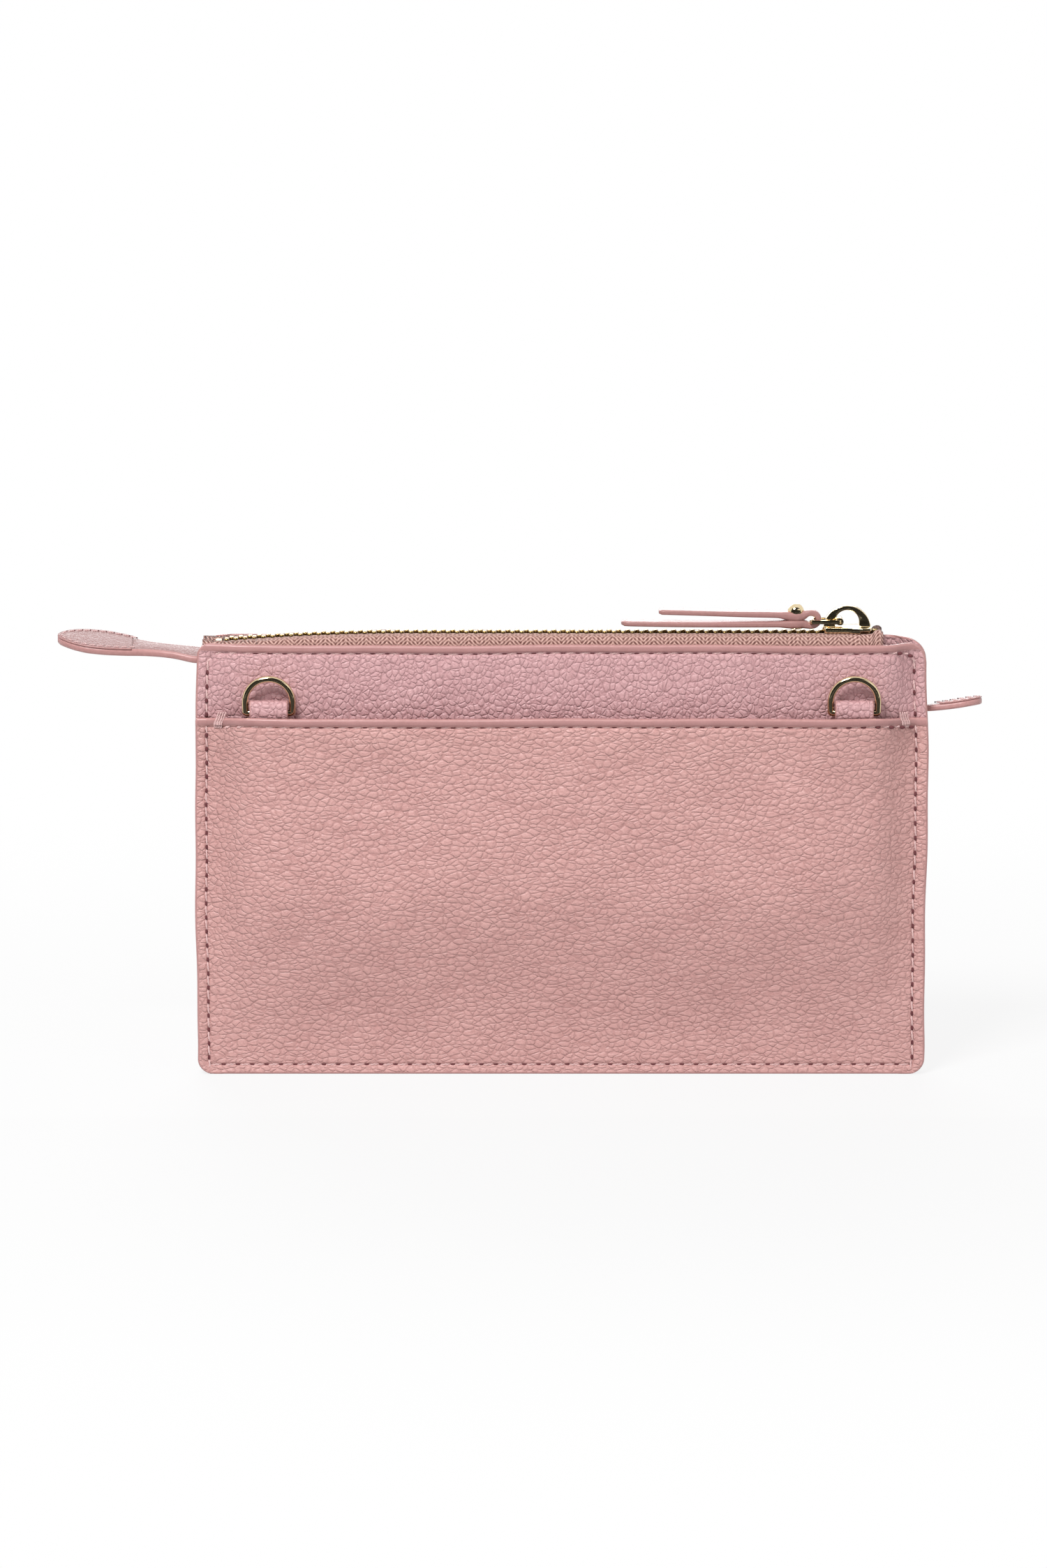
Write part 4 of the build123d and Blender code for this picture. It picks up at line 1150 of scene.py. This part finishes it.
def d_ring(name, label):
    """Round wire bent to a D and its ends brazed, leaning as it lies against the wall."""
    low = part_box(name)[0]
    hinge = PIVOTS[name + "_hinge"]
    lean = math.asin((hinge.y - low.y / MM - RING_WIRE) / RING_RISE)
    half, shoulder, bend = 6.9, 3.4, 0.45
    corner = [(-half + bend - bend * math.cos(math.radians(a)), bend - bend * math.sin(math.radians(a)))
              for a in (90, 60, 30, 0)]
    path = list(corner)
    for turn in range(180, -1, -9):
        a = math.radians(turn)
        path.append((half * math.cos(a), shoulder + half * math.sin(a)))
    path += [(-x, z) for x, z in reversed(corner)]
    path += [(x, 0.0) for x in np.linspace(4.4, -4.4, 7)]
    rings = []
    for i, (x, z) in enumerate(path):
        side_x, side_z = left_of(path, i, closed=True)
        ring = []
        for j in range(14):
            a = 2 * math.pi * j / 14
            round_wire = math.cos(a) * Vector((side_x, 0, side_z)) + math.sin(a) * Vector((0, 1, 0))
            ring.append(leaned(hinge, lean, Vector((x, 0, z)) + RING_WIRE * round_wire))
        rings.append(ring)
    piece(label, tube(rings, closed=True), [PLATED_GOLD], None, name, [name])
    return hinge, lean


def ring_keeper(name, label, hinge, lean):
    """Leather strip over the ring's bar, pinched under it and sewn behind the slip pocket's edge."""
    eye, rise = 1.55, 1.75       # radius of its bend, and the bend's middle above the bar
    path = [(eye, z) for z in (-14, -10, -6, -2, 0.8)]
    for turn in range(15, 180, 15):
        a = math.radians(turn)
        path.append((eye * math.cos(a), rise + eye * math.sin(a)))
    path += [(-eye, 0.8), (-1.52, -0.2), (-1.2, -1.3), (-0.5, -2.1), (0.3, -2.9), (0.55, -4), (0.55, -8),
             (0.55, -14.0)]
    rings = []
    for i, (y, z) in enumerate(path):
        up_y, up_z = left_of(path, i)
        ring = []
        for u, v in ribbon_section(5.65, 0.48, 0.05):
            ring.append(leaned(hinge, lean, Vector((u, y + up_y * v, z + up_z * v))))
        rings.append(ring)
    strap(label, rings, UPPER_LEATHER, EDGE_PAINT, replaces=[name])


for side in ("left", "right"):
    hinge, lean = d_ring("d_ring_" + side, "round_wire_ring_" + side)
    ring_keeper("d_ring_loop_" + side, "ring_keeper_" + side, hinge, lean)

bpy.data.objects.remove(TOOTH)


# --- studio ---------------------------------------------------------------------------------------
CAMERA_RISE = math.radians(11)   # above the level of the pouch
CAMERA_DISTANCE = 1.8            # metres
FRAME_WIDTH = 0.3086             # what the frame spans at the pouch, metres
SENSOR = 36                      # millimetres
WORLD_LIGHT = 0.36


def card(name, size, place, turn, seen_by, surface):
    """A plain card of the studio, in metres."""
    bpy.ops.mesh.primitive_plane_add(size=1, location=place, rotation=turn)
    made = bpy.context.object
    made.name = name
    made.scale = (size[0], size[1], 1)
    for kind in ("camera", "diffuse", "glossy", "transmission", "volume_scatter", "shadow"):
        setattr(made, "visible_" + kind, kind in seen_by)
    made.data.materials.append(surface)


def seen_directly(tree):
    """1 for rays from the camera, off gloss and through glass, else 0."""
    rays = node(tree, "ShaderNodeLightPath")
    seen = node(tree, "ShaderNodeMath", {0: (rays, "Is Camera Ray"), 1: (rays, "Is Glossy Ray")},
                operation="MAXIMUM")
    return node(tree, "ShaderNodeMath", {0: seen, 1: (rays, "Is Transmission Ray")}, operation="MAXIMUM")


def pale_floor():
    """Matt pale floor that keeps the pouch's shadow near it and is white farther off."""
    made, tree, skin = material("pale_studio_floor")
    feed(tree, skin, {"Base Color": (0.62, 0.62, 0.62, 1), "Roughness": 0.8})
    place = node(tree, "ShaderNodeTexCoord")
    reach = node(tree, "ShaderNodeVectorMath", {0: (place, "Object")}, operation="LENGTH")
    far = node(tree, "ShaderNodeMapRange", {"Value": (reach, "Value"), "From Min": 0.02,
                                            "From Max": 0.075, "To Min": 0.84, "To Max": 1.0},
               interpolation_type="SMOOTHSTEP")
    share = node(tree, "ShaderNodeMath", {0: far, 1: seen_directly(tree)}, operation="MULTIPLY")
    white = node(tree, "ShaderNodeEmission", Strength=1.0)
    mix = node(tree, "ShaderNodeMixShader", {0: share, 1: skin, 2: white})
    feed(tree, tree.nodes["Material Output"], {"Surface": mix})
    return made


def black_felt():
    """Felt that only gloss sees: it gives the metal its dark half."""
    made, tree, skin = material("black_studio_felt")
    feed(tree, skin, {"Base Color": (0.01, 0.01, 0.01, 1), "Roughness": 0.9})
    return made


def lamp(name, size, power, place, aim_height):
    """A softbox, in metres and watts, turned to the pouch's middle."""
    light = bpy.data.lights.new(name, "AREA")
    light.shape = "RECTANGLE"
    light.size, light.size_y = size
    light.energy = power
    softbox = placed(name, light)
    softbox.location = place
    aim = Vector((0, 0, aim_height)) - Vector(place)
    softbox.rotation_euler = aim.to_track_quat("-Z", "Y").to_euler()


def studio():
    card("studio_floor", (6, 6), (0, 0, -0.0001), (0, 0, 0),
         ("camera", "diffuse", "glossy", "transmission", "shadow"), pale_floor())
    felt = black_felt()
    card("curtain_behind_camera", (14, 7), (0, -2.6, 2.6), (math.pi / 2, 0, 0), ("glossy",), felt)
    card("dark_flag_in_front", (3.2, 0.42), (0, -0.46, 0.215), (math.pi / 2, 0, 0), ("glossy",), felt)
    card("dark_mat_in_front", (3.2, 0.40), (0, -0.255, 0.0008), (0, 0, 0), ("glossy",), felt)

    world = bpy.data.worlds.new("studio")
    world.use_nodes = True
    tree = world.node_tree
    strength = node(tree, "ShaderNodeMix", {"Factor": seen_directly(tree), 2: WORLD_LIGHT, 3: 1.0},
                    data_type="FLOAT")
    feed(tree, tree.nodes["Background"], {"Strength": strength, "Color": (1, 1, 1, 1)})

    lamp("key_softbox", (0.45, 0.35), 17, (-0.38, -0.80, 1.10), 0.07)
    lamp("fill_softbox", (0.9, 0.9), 3.8, (0.9, -0.9, 0.45), 0.07)
    lamp("back_softbox", (0.9, 0.6), 6.5, (-0.15, 1.0, 0.5), 0.05)

    up = Vector((0, math.sin(CAMERA_RISE), math.cos(CAMERA_RISE)))
    away = Vector((0, -math.cos(CAMERA_RISE), math.sin(CAMERA_RISE)))
    aim = Vector((-0.0111, -0.00276, 0.0649)) + 0.0221 * up
    camera = bpy.data.cameras.new("camera")
    camera.sensor_fit = "HORIZONTAL"
    camera.sensor_width = SENSOR
    camera.lens = SENSOR * CAMERA_DISTANCE / FRAME_WIDTH
    camera.clip_start = 0.1
    camera.clip_end = 20
    view = placed("camera", camera)
    view.location = aim + away * CAMERA_DISTANCE
    view.rotation_euler = (-away).to_track_quat("-Z", "Y").to_euler()
    scene = bpy.context.scene
    scene.world = world
    scene.camera = view
    scene.view_settings.view_transform = "Standard"


studio()
